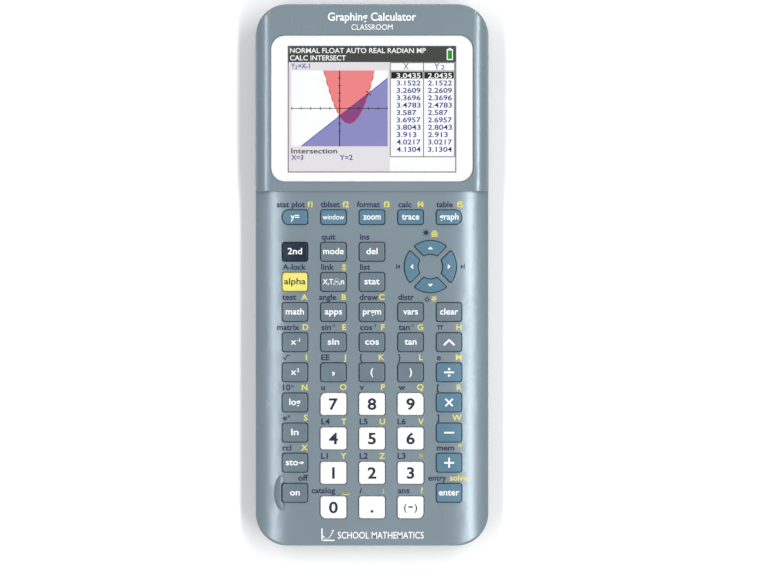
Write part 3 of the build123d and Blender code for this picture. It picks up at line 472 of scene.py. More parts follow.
front_plastic = moulded_plastic("front_case_plastic", CASE, 0.26, 3200.0, 0.025, 0.0025 * MM, 0.2)
rear_plastic = moulded_plastic("rear_case_plastic", from_screen(112, 127, 136), 0.5, 1900.0, 0.04, 0.014 * MM)
foot_rubber = soft_rubber("foot_rubber", from_screen(52, 56, 60))
black_plastic = moulded_plastic("black_part_plastic", from_screen(30, 32, 34), 0.45, 2600.0)
ivory_plastic = moulded_plastic("ivory_part_plastic", from_screen(222, 216, 196), 0.5, 2600.0)
milky_plastic = key_plastic("milky_light_guide", from_screen(226, 232, 226), 0.3)
socket_metal = plated_metal("socket_plating", from_screen(176, 178, 182), 0.3)
screw_metal = plated_metal("screw_plating", from_screen(150, 152, 158), 0.34)
panel_frame = moulded_plastic("panel_frame_plastic", from_screen(232, 233, 232), 0.5, 2400.0)
panel_glass = key_plastic("panel_glass_face", from_screen(30, 32, 38), 0.12)
ribbon_film = moulded_plastic("ribbon_film", from_screen(186, 122, 52), 0.35, 1200.0)
cell_wrap = moulded_plastic("cell_wrap_film", from_screen(70, 74, 80), 0.4, 1500.0, 0.08)
black_wire = key_plastic("black_wire_cover", from_screen(24, 24, 26))
resist = board_resist("board_resist")

dress("front_case", front_plastic)
dress("rear_case", rear_plastic, [
    (lambda c: c.z < 0.6 * MM - 1e-6, foot_rubber),
])
dress("battery_cover", rear_plastic)
dress("case_screws", screw_metal)
dress("reset_button", black_plastic)
dress("display_window", clear_panel("clear_window_panel"))
dress("display_module", panel_frame, [
    (within((-31, 33, 12.4), (31, 80.2, 14)), panel_glass),
    (within((-12, 28, 9), (12, 31.85, 11.6)), ribbon_film),
])
dress("circuit_board", resist, [
    (lambda c: c.z < 8.39 * MM, black_plastic),
    (lambda c: c.z > 9.41 * MM, ivory_plastic),
    (within((29, 66, 4.4), (39, 74, 8.39)), socket_metal),
    (within((33, 60, 6), (40, 63, 8.39)), milky_plastic),
    (within((15, 41, 4), (21, 46.5, 8.39)), ivory_plastic),
])
dress("battery_pack", cell_wrap, [
    (within((14, 41, 4.5), (19, 46.5, 8)), ivory_plastic),
    (within((6.4, 40.06, 5), (14.1, 45, 7.2)), black_wire),
])


# ---------------------------------------------------------------- legends on the keys
key_white = ink_and_painted_shade("white_key_ink", WHITE)
key_navy = ink_and_painted_shade("navy_key_ink", from_screen(22, 28, 52))
CAP_TEXT = 3.0 * MM
# Key: its words and their width in millimetres.
PLAIN_LEGENDS = {
    "y_equals": ("y=", 2.9), "window": ("window", 7.3), "zoom": ("zoom", 6.0), "trace": ("trace", 5.9),
    "graph": ("graph", 6.4), "second": ("2nd", 4.9), "mode": ("mode", 7.0), "delete": ("del", 3.8),
    "alpha": ("alpha", 7.3), "statistics": ("stat", 5.2), "math": ("math", 6.2), "apps": ("apps", 5.9),
    "program": ("prgm", 6.2), "vars": ("vars", 5.0), "clear": ("clear", 6.2), "sine": ("sin", 3.9),
    "cosine": ("cos", 4.7), "tangent": ("tan", 4.1), "log": ("log", 3.8), "natural_log": ("ln", 2.5),
    "on": ("on", 3.3), "enter": ("enter", 7.0),
}


def cap_of(name):
    """Middle of a key's cap and half its size, seen from above."""
    low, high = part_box("key_" + name)
    half_x = (high.x - low.x) / 2 - KEY_FLANGE
    half_y = (high.y - low.y) / 2 - KEY_FLANGE
    return (low.x + high.x) / 2, (low.y + high.y) / 2, half_x, half_y


def legend_ink(name):
    """Ink that follows a key's own top."""
    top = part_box("key_" + name)[1].z
    low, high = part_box("key_" + name)
    nearest = min(abs(low.x), abs(high.x)) + KEY_FLANGE
    peak = top + (KEYPAD_FACE - keypad_height(nearest, KEYPAD_FACE))
    return Ink(lambda x: keypad_height(x, peak))


def finish_legend(name, ink):
    """Print a key's legend in the colour its cap needs."""
    dark = slots["key_" + name] in ("white_key", "yellow_key")
    finish, slot = (key_navy, "navy_key") if dark else (key_white, "white_key")
    ink.piece("legend_" + name, [finish], "key_" + name, slot)


for name, (words, width) in PLAIN_LEGENDS.items():
    ink = legend_ink(name)
    x, y, *_ = cap_of(name)
    size = CAP_TEXT * (0.86 if words == "window" else 1.0)
    bold = 0.004 if words == "window" else 0.014
    ink.text(words, x, y - 0.8 * MM, size, bold=bold, width=width * MM)
    finish_legend(name, ink)

for digit in "0123456789":
    ink = legend_ink(digit)
    x, y, *_ = cap_of(digit)
    ink.text(digit, x, y - 1.85 * MM, 5.35 * MM, bold=0.022, wide=1.15)
    finish_legend(digit, ink)


def raised(ink, base, power, x, y, size=CAP_TEXT):
    """A letter with a small raised exponent."""
    width = ink.text(base, x - 0.45 * MM, y, size, bold=0.014, wide=1.1)
    ink.text(power, x - 0.45 * MM + width / 2 + 0.2 * MM, y + 0.95 * MM, size * 0.58, "LEFT", bold=0.016)


def bars(ink, x, y, shapes):
    """Rectangles given as (x, y, width, height) in millimetres about a middle."""
    for dx, dy, width, height in shapes:
        outline = rounded_outline(width * MM, height * MM, min(width, height) * 0.12 * MM, 2)
        ink.shape(moved(outline, x + dx * MM, y + dy * MM))


def dot(ink, x, y, radius, steps=20):
    """A round spot."""
    angles = [2 * pi * i / steps for i in range(steps)]
    ink.shape([(x + radius * cos(angle), y + radius * sin(angle)) for angle in angles])


def draw_reciprocal(ink, x, y):
    raised(ink, "x", "-1", x, y - 0.8 * MM)


def draw_square(ink, x, y):
    raised(ink, "x", "2", x, y - 0.8 * MM)


def theta(ink, x, y, half_width, half_height, line, lean=0.0):
    """An upright ring with a bar across, for the angle letter."""
    ring = []
    for step in range(17):
        angle = 2 * pi * step / 16
        rise = half_height * sin(angle)
        ring.append((x + half_width * cos(angle) + lean * rise, y + rise))
    ink.lines(ring, line)
    ink.lines([(x - half_width, y), (x + half_width, y)], line * 0.8)


def draw_variable(ink, x, y):
    foot = y - 0.8 * MM
    ink.text("X,T,", x - 3.6 * MM, foot, CAP_TEXT * 0.85, "LEFT", 0.01, width=3.9 * MM)
    theta(ink, x + 1.1 * MM, y + 0.05 * MM, 0.62 * MM, 0.92 * MM, 0.36 * MM)
    ink.text(",", x + 1.95 * MM, foot, CAP_TEXT * 0.85, "LEFT", 0.01)
    ink.text("n", x + 3.65 * MM, foot, CAP_TEXT * 0.95, "RIGHT", 0.01)


def draw_power(ink, x, y):
    ink.lines([(x - 1.7 * MM, y - 0.9 * MM), (x, y + 0.75 * MM), (x + 1.7 * MM, y - 0.9 * MM)], 0.62 * MM)


def draw_comma(ink, x, y):
    ink.text(",", x, y - 0.5 * MM, 5.0 * MM, bold=0.02)


def draw_open_bracket(ink, x, y):
    ink.text("(", x, y - 0.85 * MM, 3.2 * MM, bold=0.02)


def draw_close_bracket(ink, x, y):
    ink.text(")", x, y - 0.85 * MM, 3.2 * MM, bold=0.02)


def draw_divide(ink, x, y):
    bars(ink, x, y, [(0, 0, 3.4, 0.55)])
    for side in (-1, 1):
        dot(ink, x, y + side * 1.1 * MM, 0.4 * MM)


def draw_multiply(ink, x, y):
    arm = 1.15 * MM
    for side in (-1, 1):
        ink.lines([(x - arm, y - side * arm), (x + arm, y + side * arm)], 0.55 * MM)


def draw_minus(ink, x, y):
    bars(ink, x, y, [(0, 0, 3.4, 0.55)])


def draw_plus(ink, x, y):
    bars(ink, x, y, [(0, 0, 3.4, 0.55), (0, 0, 0.55, 3.4)])


def draw_store(ink, x, y):
    ink.text("sto", x - 1.0 * MM, y - 0.8 * MM, CAP_TEXT, bold=0.014, width=4.2 * MM)
    ink.lines([(x + 1.5 * MM, y), (x + 2.5 * MM, y)], 0.35 * MM)
    tip = x + 3.1 * MM
    ink.shape([(tip - 0.8 * MM, y - 0.6 * MM), (tip, y), (tip - 0.8 * MM, y + 0.6 * MM)])


def draw_point(ink, x, y):
    bars(ink, x, y, [(0, -1.35, 0.85, 0.85)])


def draw_negative(ink, x, y):
    ink.text("(", x - 1.75 * MM, y - 1.15 * MM, 3.4 * MM, bold=0.008)
    ink.text(")", x + 1.75 * MM, y - 1.15 * MM, 3.4 * MM, bold=0.008)
    bars(ink, x, y, [(0, 0.15, 1.5, 0.5)])


DRAWN = {
    "reciprocal": draw_reciprocal, "square": draw_square, "variable": draw_variable,
    "power": draw_power, "comma": draw_comma, "open_bracket": draw_open_bracket,
    "close_bracket": draw_close_bracket, "divide": draw_divide, "multiply": draw_multiply,
    "minus": draw_minus, "plus": draw_plus, "store": draw_store, "point": draw_point,
    "negative": draw_negative,
}
for name, draw in DRAWN.items():
    ink = legend_ink(name)
    x, y, *_ = cap_of(name)
    draw(ink, x, y)
    finish_legend(name, ink)

up_low, up_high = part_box("key_arrow_up")
down_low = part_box("key_arrow_down")[0]
PAD_X, PAD_Y = (up_low.x + up_high.x) / 2, (up_high.y + down_low.y) / 2
ARROW_MARK = 6.35 * MM
ARROW_WAYS = {"up": (0, 1), "down": (0, -1), "left": (-1, 0), "right": (1, 0)}
for name, (dx, dy) in ARROW_WAYS.items():
    ink = Ink(lambda x: keypad_height(x, KEYPAD_FACE + KEY_RISE))
    x, y = PAD_X + dx * ARROW_MARK, PAD_Y + dy * ARROW_MARK
    half, tall = 0.85 * MM, 0.45 * MM
    tip = (x + dx * tall, y + dy * tall)
    feet = [(x - dx * tall + s * dy * half, y - dy * tall - s * dx * half) for s in (-1, 1)]
    ink.shape([tip, feet[0], feet[1]])
    finish_legend("arrow_" + name, ink)


# ---------------------------------------------------------------- legends on the keypad plate
plate_navy = ink_and_painted_shade("navy_plate_ink", NAVY)
plate_yellow = ink_and_painted_shade("yellow_plate_ink", YELLOW)
navy_ink = Ink(lambda x: keypad_height(x, KEYPAD_FACE))
yellow_ink = Ink(lambda x: keypad_height(x, KEYPAD_FACE))
SMALL_TEXT = 2.75 * MM
SMALL_BOLD = 0.021
SMALL_WIDE = 1.12
ABOVE_CAP = 1.0 * MM
# Key: words in navy, words in yellow, and how far each starts or ends outside the cap in millimetres.
PLATE_LEGENDS = {
    "y_equals": ("stat plot", "f1", 1.9, 1.7),
    "window": ("tblset", "f2", 0.1, 1.0),
    "zoom": ("format", "f3", 0.9, 1.7),
    "trace": ("calc", "f4", -0.1, 0.2),
    "graph": ("table", "f5", 0.1, 0.5),
    "mode": ("quit", "", -0.2, 0),
    "delete": ("ins", "", -0.2, 0),
    "alpha": ("A-lock", "", -0.1, 0),
    "variable": ("link", "", -0.1, 0),
    "statistics": ("list", "", -0.2, 0),
    "math": ("test", "A", 0.1, 0),
    "apps": ("angle", "B", 0.6, 0),
    "program": ("draw", "C", 0, 0),
    "vars": ("distr", "", -0.1, 0),
    "reciprocal": ("matrix", "D", 1.8, 0.3),
    "square": ("", "I", 0, -0.2),
    "comma": ("EE", "J", -0.1, 0),
    "open_bracket": ("{", "K", 0, -0.1),
    "close_bracket": ("}", "L", 0, -0.1),
    "divide": ("e", "M", -0.1, 0),
    "7": ("u", "O", -0.3, 0),
    "8": ("v", "P", -0.2, 0),
    "9": ("w", "Q", -0.3, 0),
    "multiply": ("[", "R", -0.1, 0),
    "4": ("L4", "T", -0.3, 0),
    "5": ("L5", "U", -0.2, 0),
    "6": ("L6", "V", 0, 0.1),
    "minus": ("]", "W", -0.1, 0),
    "store": ("rcl", "X", -0.1, 0.1),
    "1": ("L1", "Y", -0.2, 0),
    "2": ("L2", "Z", -0.2, 0),
    "3": ("L3", "", 0, 0),
    "plus": ("mem", "\"", -0.1, -0.2),
    "0": ("catalog", "", 3.0, 0),
    "point": ("i", ":", -0.1, -0.3),
    "negative": ("ans", "?", -0.1, -0.2),
    "enter": ("entry", "solve", 2.8, 1.9),
}
for name, (navy_words, yellow_words, left, right) in PLATE_LEGENDS.items():
    x, y, half_x, half_y = cap_of(name)
    base = y + half_y + ABOVE_CAP
    tight = SMALL_WIDE if len(navy_words) < 5 else 1.04
    if navy_words:
        lean = 0.3 if navy_words == "i" else 0.0
        start = x - half_x - left * MM
        navy_ink.text(navy_words, start, base, SMALL_TEXT, "LEFT", SMALL_BOLD, tight, lean)
    if yellow_words:
        end = x + half_x + right * MM
        yellow_ink.text(yellow_words, end, base, SMALL_TEXT, "RIGHT", SMALL_BOLD, 1.05)

for name, word, power, yellow_word in (
    ("sine", "sin", "-1", "E"), ("cosine", "cos", "-1", "F"), ("tangent", "tan", "-1", "G"),
    ("log", "10", "x", "N"), ("natural_log", "e", "x", "S"),
):
    x, y, half_x, half_y = cap_of(name)
    base = y + half_y + ABOVE_CAP
    start = x - half_x + 0.2 * MM
    width = navy_ink.text(word, start, base, SMALL_TEXT, "LEFT", SMALL_BOLD, SMALL_WIDE)
    navy_ink.text(power, start + width + 0.2 * MM, base + 0.95 * MM, SMALL_TEXT * 0.6, "LEFT", SMALL_BOLD)
    yellow_ink.text(yellow_word, x + half_x, base, SMALL_TEXT, "RIGHT", SMALL_BOLD, 1.05)

x, y, half_x, half_y = cap_of("on")
off_x, off_y = x + half_x + 0.2 * MM, y + half_y + ABOVE_CAP
navy_ink.text("off", off_x, off_y, SMALL_TEXT, "RIGHT", SMALL_BOLD, SMALL_WIDE)
x, y, half_x, half_y = cap_of("3")
theta_x, theta_y = x + half_x - 0.9 * MM, y + half_y + ABOVE_CAP + 0.95 * MM
theta(yellow_ink, theta_x, theta_y, 0.5 * MM, 0.9 * MM, 0.24 * MM, 0.3)
x, y, half_x, half_y = cap_of("power")
pi_x, pi_y = x - half_x + 0.2 * MM, y + half_y + ABOVE_CAP
navy_ink.lines([(pi_x, pi_y + 1.4 * MM), (pi_x + 2.0 * MM, pi_y + 1.4 * MM)], 0.32 * MM)
for leg in (0.55, 1.45):
    navy_ink.lines([(pi_x + leg * MM, pi_y + 1.3 * MM), (pi_x + leg * MM, pi_y + 0.15 * MM)], 0.3 * MM)
yellow_ink.text("H", x + half_x, pi_y, SMALL_TEXT, "RIGHT", SMALL_BOLD, 1.05)
x, y, half_x, half_y = cap_of("square")
root_y = y + half_y + ABOVE_CAP
ROOT_SIGN = ((0.1, 0.7), (0.5, 0.8), (1.0, 0.05), (1.6, 1.6), (2.6, 1.6))
navy_ink.lines([(x - half_x + dx * MM, root_y + dy * MM) for dx, dy in ROOT_SIGN], 0.27 * MM)
x, y, half_x, half_y = cap_of("0")
space_y = y + half_y + ABOVE_CAP
SPACE_SIGN = ((-1.3, 0.0), (-1.3, -0.5), (0.8, -0.5), (0.8, 0.0))
yellow_ink.lines([(x + half_x + dx * MM, space_y + dy * MM) for dx, dy in SPACE_SIGN], 0.27 * MM)


def sun(ink, x, y, radius, rays, filled):
    """A small sun: a disc or ring with short rays."""
    if filled:
        dot(ink, x, y, radius)
    else:
        ring = [(x + radius * cos(pi * i / 8), y + radius * sin(pi * i / 8)) for i in range(17)]
        ink.lines(ring, 0.2 * MM)
    for index in range(8):
        angle = pi * index / 4
        ends = (radius + 0.08 * MM, rays)
        ink.lines([(x + end * cos(angle), y + end * sin(angle)) for end in ends], 0.2 * MM)


def page_mark(ink, x, y, width, height, way):
    """A stack of bars with a pointed end: the mark for moving a page up or down."""
    count = 4
    step = height / (count + 0.6)
    for index in range(count):
        level = y - way * (height / 2 - (index + 0.4) * step)
        reach = width / 2 * (1.0 if index < count - 1 else 0.62)
        ink.shape([(x - reach, level - step * 0.3), (x + reach, level - step * 0.3),
                   (x + reach, level + step * 0.3), (x - reach, level + step * 0.3)])


def end_mark(ink, x, y, way):
    """A small triangle against a bar: jump to the end of a line."""
    tall, deep = 0.8 * MM, 0.75 * MM
    ink.shape([(x - way * deep, y - tall), (x + way * 0.1 * MM, y), (x - way * deep, y + tall)][::way])
    bars(ink, x + way * 0.35 * MM, y, [(0, 0, 0.28, 1.8)])


sun(navy_ink, PAD_X - 1.5 * MM, PAD_Y + 11.55 * MM, 0.72 * MM, 1.3 * MM, True)
sun(navy_ink, PAD_X - 1.1 * MM, PAD_Y - 11.15 * MM, 0.5 * MM, 1.0 * MM, False)
page_mark(yellow_ink, PAD_X + 1.4 * MM, PAD_Y + 11.4 * MM, 2.2 * MM, 2.6 * MM, 1)
page_mark(yellow_ink, PAD_X + 1.25 * MM, PAD_Y - 11.15 * MM, 1.6 * MM, 2.0 * MM, -1)
end_mark(navy_ink, PAD_X - 11.15 * MM, PAD_Y, -1)
end_mark(navy_ink, PAD_X + 11.15 * MM, PAD_Y, 1)
x, y, half_x, half_y = cap_of("variable")
for side in (-1, 1):
    mark_y = y + half_y + ABOVE_CAP + 0.75 * MM + side * 0.78 * MM
    page_mark(yellow_ink, x + half_x - 0.7 * MM, mark_y, 1.4 * MM, 1.3 * MM, side)

navy_ink.piece("plate_legends_navy", [plate_navy], ROOT, "navy_key")
yellow_ink.piece("plate_legends_yellow", [plate_yellow], ROOT, "yellow_key")

# A generic title above the display, and a generic mark and words under the keys.
title_ink = Ink(lambda x: HEAD_FACE)
title_ink.text("Graphing Calculator", 0, window_high.y + 4.95 * MM, 3.9 * MM, bold=0.014, width=30.0 * MM)
title_ink.text("CLASSROOM", 0, window_high.y + 1.8 * MM, 2.7 * MM, bold=0.0, width=14.0 * MM)
title_ink.piece("title_lettering", [key_white], ROOT, "white_key")
foot_ink = Ink(lambda x: keypad_height(x, KEYPAD_FACE))
FOOT_TEXT_Y = case_low.y + 2.5 * MM
foot_ink.text("SCHOOL MATHEMATICS", 3.0 * MM, FOOT_TEXT_Y, 3.3 * MM, bold=0.006, width=29.2 * MM)
corner_x, corner_y = -17.0 * MM, FOOT_TEXT_Y - 0.6 * MM
axes = [(corner_x, corner_y + 4.0 * MM), (corner_x, corner_y), (corner_x + 4.2 * MM, corner_y)]
foot_ink.lines(axes, 0.4 * MM)
curve = [
    (corner_x + (0.4 + 3.4 * share) * MM, corner_y + (0.5 + 7.04 * (share - 0.35) ** 2) * MM)
    for share in [i / 10 for i in range(11)]
]
foot_ink.lines(curve, 0.4 * MM)
foot_ink.piece("foot_lettering", [key_white], ROOT, "white_key")


# ---------------------------------------------------------------- the display's picture
GLASS_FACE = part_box("display_module")[1].z
LAYER = 0.008 * MM


def on_screen(column, row):
    """A place on the picture from its dots, counted from the upper left."""
    return (PICTURE_X + (column - DOTS_ACROSS / 2) * DOT, PICTURE_Y + (DOTS_DOWN / 2 - row) * DOT)


class Picture:
    """Flat coloured shapes and lettering on the lit display, in layers."""

    def __init__(self):
        self.inks = {}
        self.finishes = {}

    def layer(self, color, level):
        """The ink for one colour at one level."""
        key = (color, level)
        if key not in self.inks:
            self.inks[key] = Ink(lambda x: GLASS_FACE + INK_BURIED + level * LAYER, LAYER / 2)
        return self.inks[key]

    def area(self, color, level, *corners):
        """A filled outline given by dots."""
        self.layer(color, level).shape([on_screen(*corner) for corner in corners][::-1])

    def bar(self, color, level, left, top, right, bottom):
        """A filled rectangle given by its edges."""
        self.area(color, level, (left, top), (right, top), (right, bottom), (left, bottom))

    def words(self, color, level, text, column, row, width, tall=9.5, align="LEFT", bold=0.014):
        """Lettering whose foot stands on a row, stretched to a width in dots."""
        x, y = on_screen(column, row)
        self.layer(color, level).text(text, x, y, tall * DOT / 0.7, align, bold, width=width * DOT)

    def finish(self):
        """Join every colour into one piece."""
        whole = bmesh.new()
        materials = []
        for (color, level), ink in sorted(self.inks.items(), key=lambda item: item[0][1]):
            if color not in self.finishes:
                self.finishes[color] = len(materials)
                materials.append(lit_picture("screen_" + color, SCREEN_COLORS[color]))
            for face in ink.mesh.faces:
                face.material_index = self.finishes[color]
            sheet = bpy.data.meshes.new("screen_layer")
            ink.mesh.to_mesh(sheet)
            ink.mesh.free()
            whole.from_mesh(sheet)
            bpy.data.meshes.remove(sheet)
        mesh = bpy.data.meshes.new("screen_picture")
        whole.to_mesh(mesh)
        whole.free()
        return add_piece("screen_picture", mesh, materials, ROOT)


SCREEN_COLORS = {
    "edge": from_screen(150, 148, 152),
    "panel": from_screen(230, 226, 232),
    "white": from_screen(254, 254, 254),
    "bar": from_screen(62, 67, 62),
    "black": from_screen(8, 8, 10),
    "navy": from_screen(24, 20, 138),
    "grey": from_screen(120, 120, 124),
    "green": from_screen(16, 150, 20),
    "red_fill": from_screen(240, 132, 132),
    "red_line": from_screen(206, 40, 56),
    "blue_fill": from_screen(140, 140, 196),
    "blue_line": from_screen(52, 48, 150),
    "both_fill": from_screen(138, 62, 126),
    "axis": from_screen(50, 44, 58),
}
GRAPH_LEFT, GRAPH_RIGHT, GRAPH_TOP, GRAPH_BOTTOM = 6, 190, 46, 191
GRAPH_REACH = 5.0  # both axes run this far each way


def graph_point(across, up):
    """Dots for a point of the graph."""
    column = GRAPH_LEFT + (across + GRAPH_REACH) / (2 * GRAPH_REACH) * (GRAPH_RIGHT - GRAPH_LEFT)
    row = GRAPH_BOTTOM - (up + GRAPH_REACH) / (2 * GRAPH_REACH) * (GRAPH_BOTTOM - GRAPH_TOP)
    return column, row


def bowl(across):
    """The curve on the display."""
    return (across - 1) ** 2 - 2


picture = Picture()
picture.bar("edge", 0, 0, 0, DOTS_ACROSS, DOTS_DOWN)
picture.bar("panel", 1, 1, 30, 194, DOTS_DOWN - 1)
picture.bar("white", 1, 194, 30, DOTS_ACROSS - 1, DOTS_DOWN - 1)
picture.bar("bar", 1, 0, 0, DOTS_ACROSS, 30)
picture.words("white", 2, "NORMAL FLOAT AUTO REAL RADIAN MP", 3, 12.5, 260)
picture.words("white", 2, "CALC INTERSECT", 3, 26.5, 107)
picture.bar("white", 2, 303, 5, 315, 26)
picture.bar("white", 2, 306.5, 3, 311.5, 5)
picture.bar("green", 3, 305, 7.5, 313, 24)
picture.words("navy", 2, "Y", 5.5, 42, 6.5)
picture.words("navy", 2, "2", 12.5, 43, 5, 6.5)
picture.words("navy", 2, "=X-1", 19, 42, 22)
picture.bar("white", 2, GRAPH_LEFT, GRAPH_TOP, GRAPH_RIGHT, GRAPH_BOTTOM)
right_edge = GRAPH_REACH - 1
picture.area("blue_fill", 3, graph_point(-4, -5), graph_point(5, right_edge), graph_point(5, -5))
reach = sqrt(7)
rim = [1 - reach + 2 * reach * i / 40 for i in range(41)]
picture.area("red_fill", 4, *[graph_point(a, min(bowl(a), GRAPH_REACH)) for a in rim])
lens = [3 * i / 20 for i in range(21)]
picture.area("both_fill", 5, *[graph_point(a, bowl(a)) for a in lens])
sloped = picture.layer("blue_line", 6)
sloped.lines([on_screen(*graph_point(-4, -5)), on_screen(*graph_point(5, 4))], 1.3 * DOT)
dashes = picture.layer("red_line", 6)
for start, end in list(zip(rim, rim[1:]))[::2]:
    dashes.lines([on_screen(*graph_point(a, bowl(a))) for a in (start, end)], 1.6 * DOT)
zero = graph_point(0, 0)
picture.bar("axis", 7, GRAPH_LEFT, zero[1] - 0.7, GRAPH_RIGHT, zero[1] + 0.7)
picture.bar("axis", 7, zero[0] - 1.0, GRAPH_TOP, zero[0] + 1.0, GRAPH_BOTTOM)
for tick in range(-5, 6):
    column = min(max(graph_point(tick, 0)[0], GRAPH_LEFT + 0.7), GRAPH_RIGHT - 0.7)
    picture.bar("axis", 7, column - 0.7, zero[1] - 3, column + 0.7, zero[1] + 3)
for tick in range(-3, 5):
    row = graph_point(0, tick)[1]
    picture.bar("axis", 7, zero[0] - 3, row - 0.7, zero[0] + 3, row + 0.7)
cross_column, cross_row = graph_point(3, 2)
cross = picture.layer("black", 8)
for dx, dy in ((1, 1), (1, -1), (-1, 1), (-1, -1)):
    start = on_screen(cross_column + dx * 1.2, cross_row + dy * 1.2)
    cross.lines([start, on_screen(cross_column + dx * 4.2, cross_row + dy * 4.2)], 1.8 * DOT)
picture.words("black", 2, "Intersection", 5.5, 204.5, 88)
picture.words("navy", 2, "X=3", 5.5, 217, 23)
picture.words("navy", 2, "Y=2", 98, 217, 25)

TABLE_LEFT, TABLE_SPLIT, TABLE_RIGHT, TABLE_TOP, TABLE_BOTTOM = 195, 258.5, 318, 31, 211
HEADER_BOTTOM, ROW_PITCH, ROW_COUNT = 47, 14.1, 11
FIRST_VALUE, VALUE_STEP = 3 + 1 / 23, 2.5 / 23
for column in (TABLE_LEFT, TABLE_SPLIT, TABLE_RIGHT):
    picture.bar("grey", 2, column - 0.9, TABLE_TOP, column + 0.9, TABLE_BOTTOM)
for row in (TABLE_TOP, HEADER_BOTTOM, TABLE_BOTTOM):
    picture.bar("grey", 3, TABLE_LEFT, row - 0.9, TABLE_RIGHT, row + 0.9)
picture.words("navy", 3, "X", 225, 44, 10, 12, "CENTER", 0.0)
picture.words("navy", 3, "Y", 284, 44, 10, 12, "CENTER", 0.0)
picture.words("navy", 3, "2", 295.5, 44, 7, 8.5, "CENTER", 0.0)
picture.bar("black", 2, TABLE_LEFT + 1.5, 48.5, TABLE_SPLIT - 1.5, 61.5)
picture.bar("black", 2, TABLE_SPLIT + 1.5, 48.5, TABLE_RIGHT - 1.5, 61.5)
for index in range(ROW_COUNT):
    value = FIRST_VALUE + VALUE_STEP * index
    color = "white" if index == 0 else "navy"
    row = 60.5 + index * ROW_PITCH
    for number, column in ((value, 207), (value - 1, 267)):
        digits = f"{number:.4f}".rstrip("0")
        picture.words(color, 3, digits, column, row, 7.9 * len(digits) - 1.5)
picture.finish()


# ---------------------------------------------------------------- the printed border behind the window, and painted shadow round the picture
def border_ring(name, outer, inner, low, high, material):
    """A flat ring between two outlines with the same number of points."""
    ring = bmesh.new()
    levels = []
    for z in (low, high):
        outlines = [[ring.verts.new((x, y, z)) for x, y in outline] for outline in (outer, inner)]
        levels.append(outlines)
    count = len(outer)
    (out_low, in_low), (out_high, in_high) = levels
    for i in range(count):
        j = (i + 1) % count
        ring.faces.new((out_high[i], out_high[j], in_high[j], in_high[i]))
        ring.faces.new((out_low[j], out_low[i], in_low[i], in_low[j]))
        ring.faces.new((out_low[i], out_low[j], out_high[j], out_high[i]))
        ring.faces.new((in_low[j], in_low[i], in_high[i], in_high[j]))
    mesh = bpy.data.meshes.new(name)
    ring.to_mesh(mesh)
    ring.free()
    return add_piece(name, mesh, [material], ROOT)


WINDOW_WIDTH = window_high.x - window_low.x
WINDOW_LENGTH = window_high.y - window_low.y
WINDOW_Y = (window_low.y + window_high.y) / 2
PRINT_INSET = 0.1 * MM
PRINT_DEPTH = 0.05 * MM
VIEW_MARGIN = 0.25 * MM
border_white = ink_and_painted_shade("white_border_print", from_screen(244, 245, 246), 0.5)
# A grey finish that is painted shadow: it stands for the shade the display's frame casts round the lit
# picture.
frame_shadow_paint = ink_and_painted_shade("painted_frame_shadow", from_screen(120, 118, 120), 0.5)
border_outer = moved(
    rounded_outline(WINDOW_WIDTH - 2 * PRINT_INSET, WINDOW_LENGTH - 2 * PRINT_INSET, 4.7 * MM), 0, WINDOW_Y
)
opening = (PICTURE_WIDTH + 2 * VIEW_MARGIN, DOTS_DOWN * DOT + 2 * VIEW_MARGIN)
border_inner = moved(rounded_outline(*opening, 0.1 * MM), PICTURE_X, PICTURE_Y)
border_ring(
    "window_border_print", border_outer, border_inner,
    window_low.z + 0.005 * MM, window_low.z + PRINT_DEPTH, border_white,
)
# The grey ring from just past the opening in to the picture's edge is painted shadow of the display's frame,
# not print.
shade = moved(rounded_outline(*(side + 1.2 * MM for side in opening), 0.3 * MM), PICTURE_X, PICTURE_Y)
picture_edge = moved(rounded_outline(PICTURE_WIDTH, DOTS_DOWN * DOT, 0.05 * MM), PICTURE_X, PICTURE_Y)
border_ring(
    "picture_shadow_mask", shade, picture_edge,
    GLASS_FACE + 0.09 * MM, GLASS_FACE + 0.11 * MM, frame_shadow_paint,
)


# ---------------------------------------------------------------- the rubber sheet and its domes
membrane_low, membrane_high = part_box("key_membrane")
SHEET_TOP = membrane_low.z + 0.5 * MM
silicone = soft_rubber("key_sheet_silicone", from_screen(196, 198, 194))


def turned(profile, x, y, steps=28):
    """A closed mesh turned about an upright axis from (radius, height) points, ends on the axis."""
    lathe = bmesh.new()
    rings = []
    for radius, z in profile:
        if radius == 0:
            rings.append([lathe.verts.new((x, y, z))])
        else:
            angles = [2 * pi * i / steps for i in range(steps)]
            rings.append([
                lathe.verts.new((x + radius * cos(angle), y + radius * sin(angle), z)) for angle in angles
            ])
    for first, second in zip(rings, rings[1:]):
        for i in range(steps):
            j = (i + 1) % steps
            loop = [ring[k % len(ring)] for ring, k in ((first, i), (first, j), (second, j), (second, i))]
            corners = list(dict.fromkeys(loop))
            if len(corners) > 2:
                lathe.faces.new(corners)
    bmesh.ops.recalc_face_normals(lathe, faces=lathe.faces)
    mesh = bpy.data.meshes.new("turned")
    lathe.to_mesh(mesh)
    lathe.free()
    return mesh


DOME_PROFILE = [  # radius and height above the sheet's underside, in millimetres
    (0, 1.45), (1.0, 1.45), (1.15, 1.3), (1.9, 0.6), (2.05, 0.45), (2.6, 0.45), (2.6, 0.52),
    (2.45, 0.6), (1.62, 1.8), (1.5, 1.97), (1.2, 2.0), (0, 2.0),
]
ARROW_STEM = 6.6 * MM
stems = {name: cap_of(name)[:2] for name in [*PLAIN_LEGENDS, *DRAWN, *"0123456789"]}
for name, (dx, dy) in ARROW_WAYS.items():
    stems["arrow_" + name] = (PAD_X + dx * ARROW_STEM, PAD_Y + dy * ARROW_STEM)

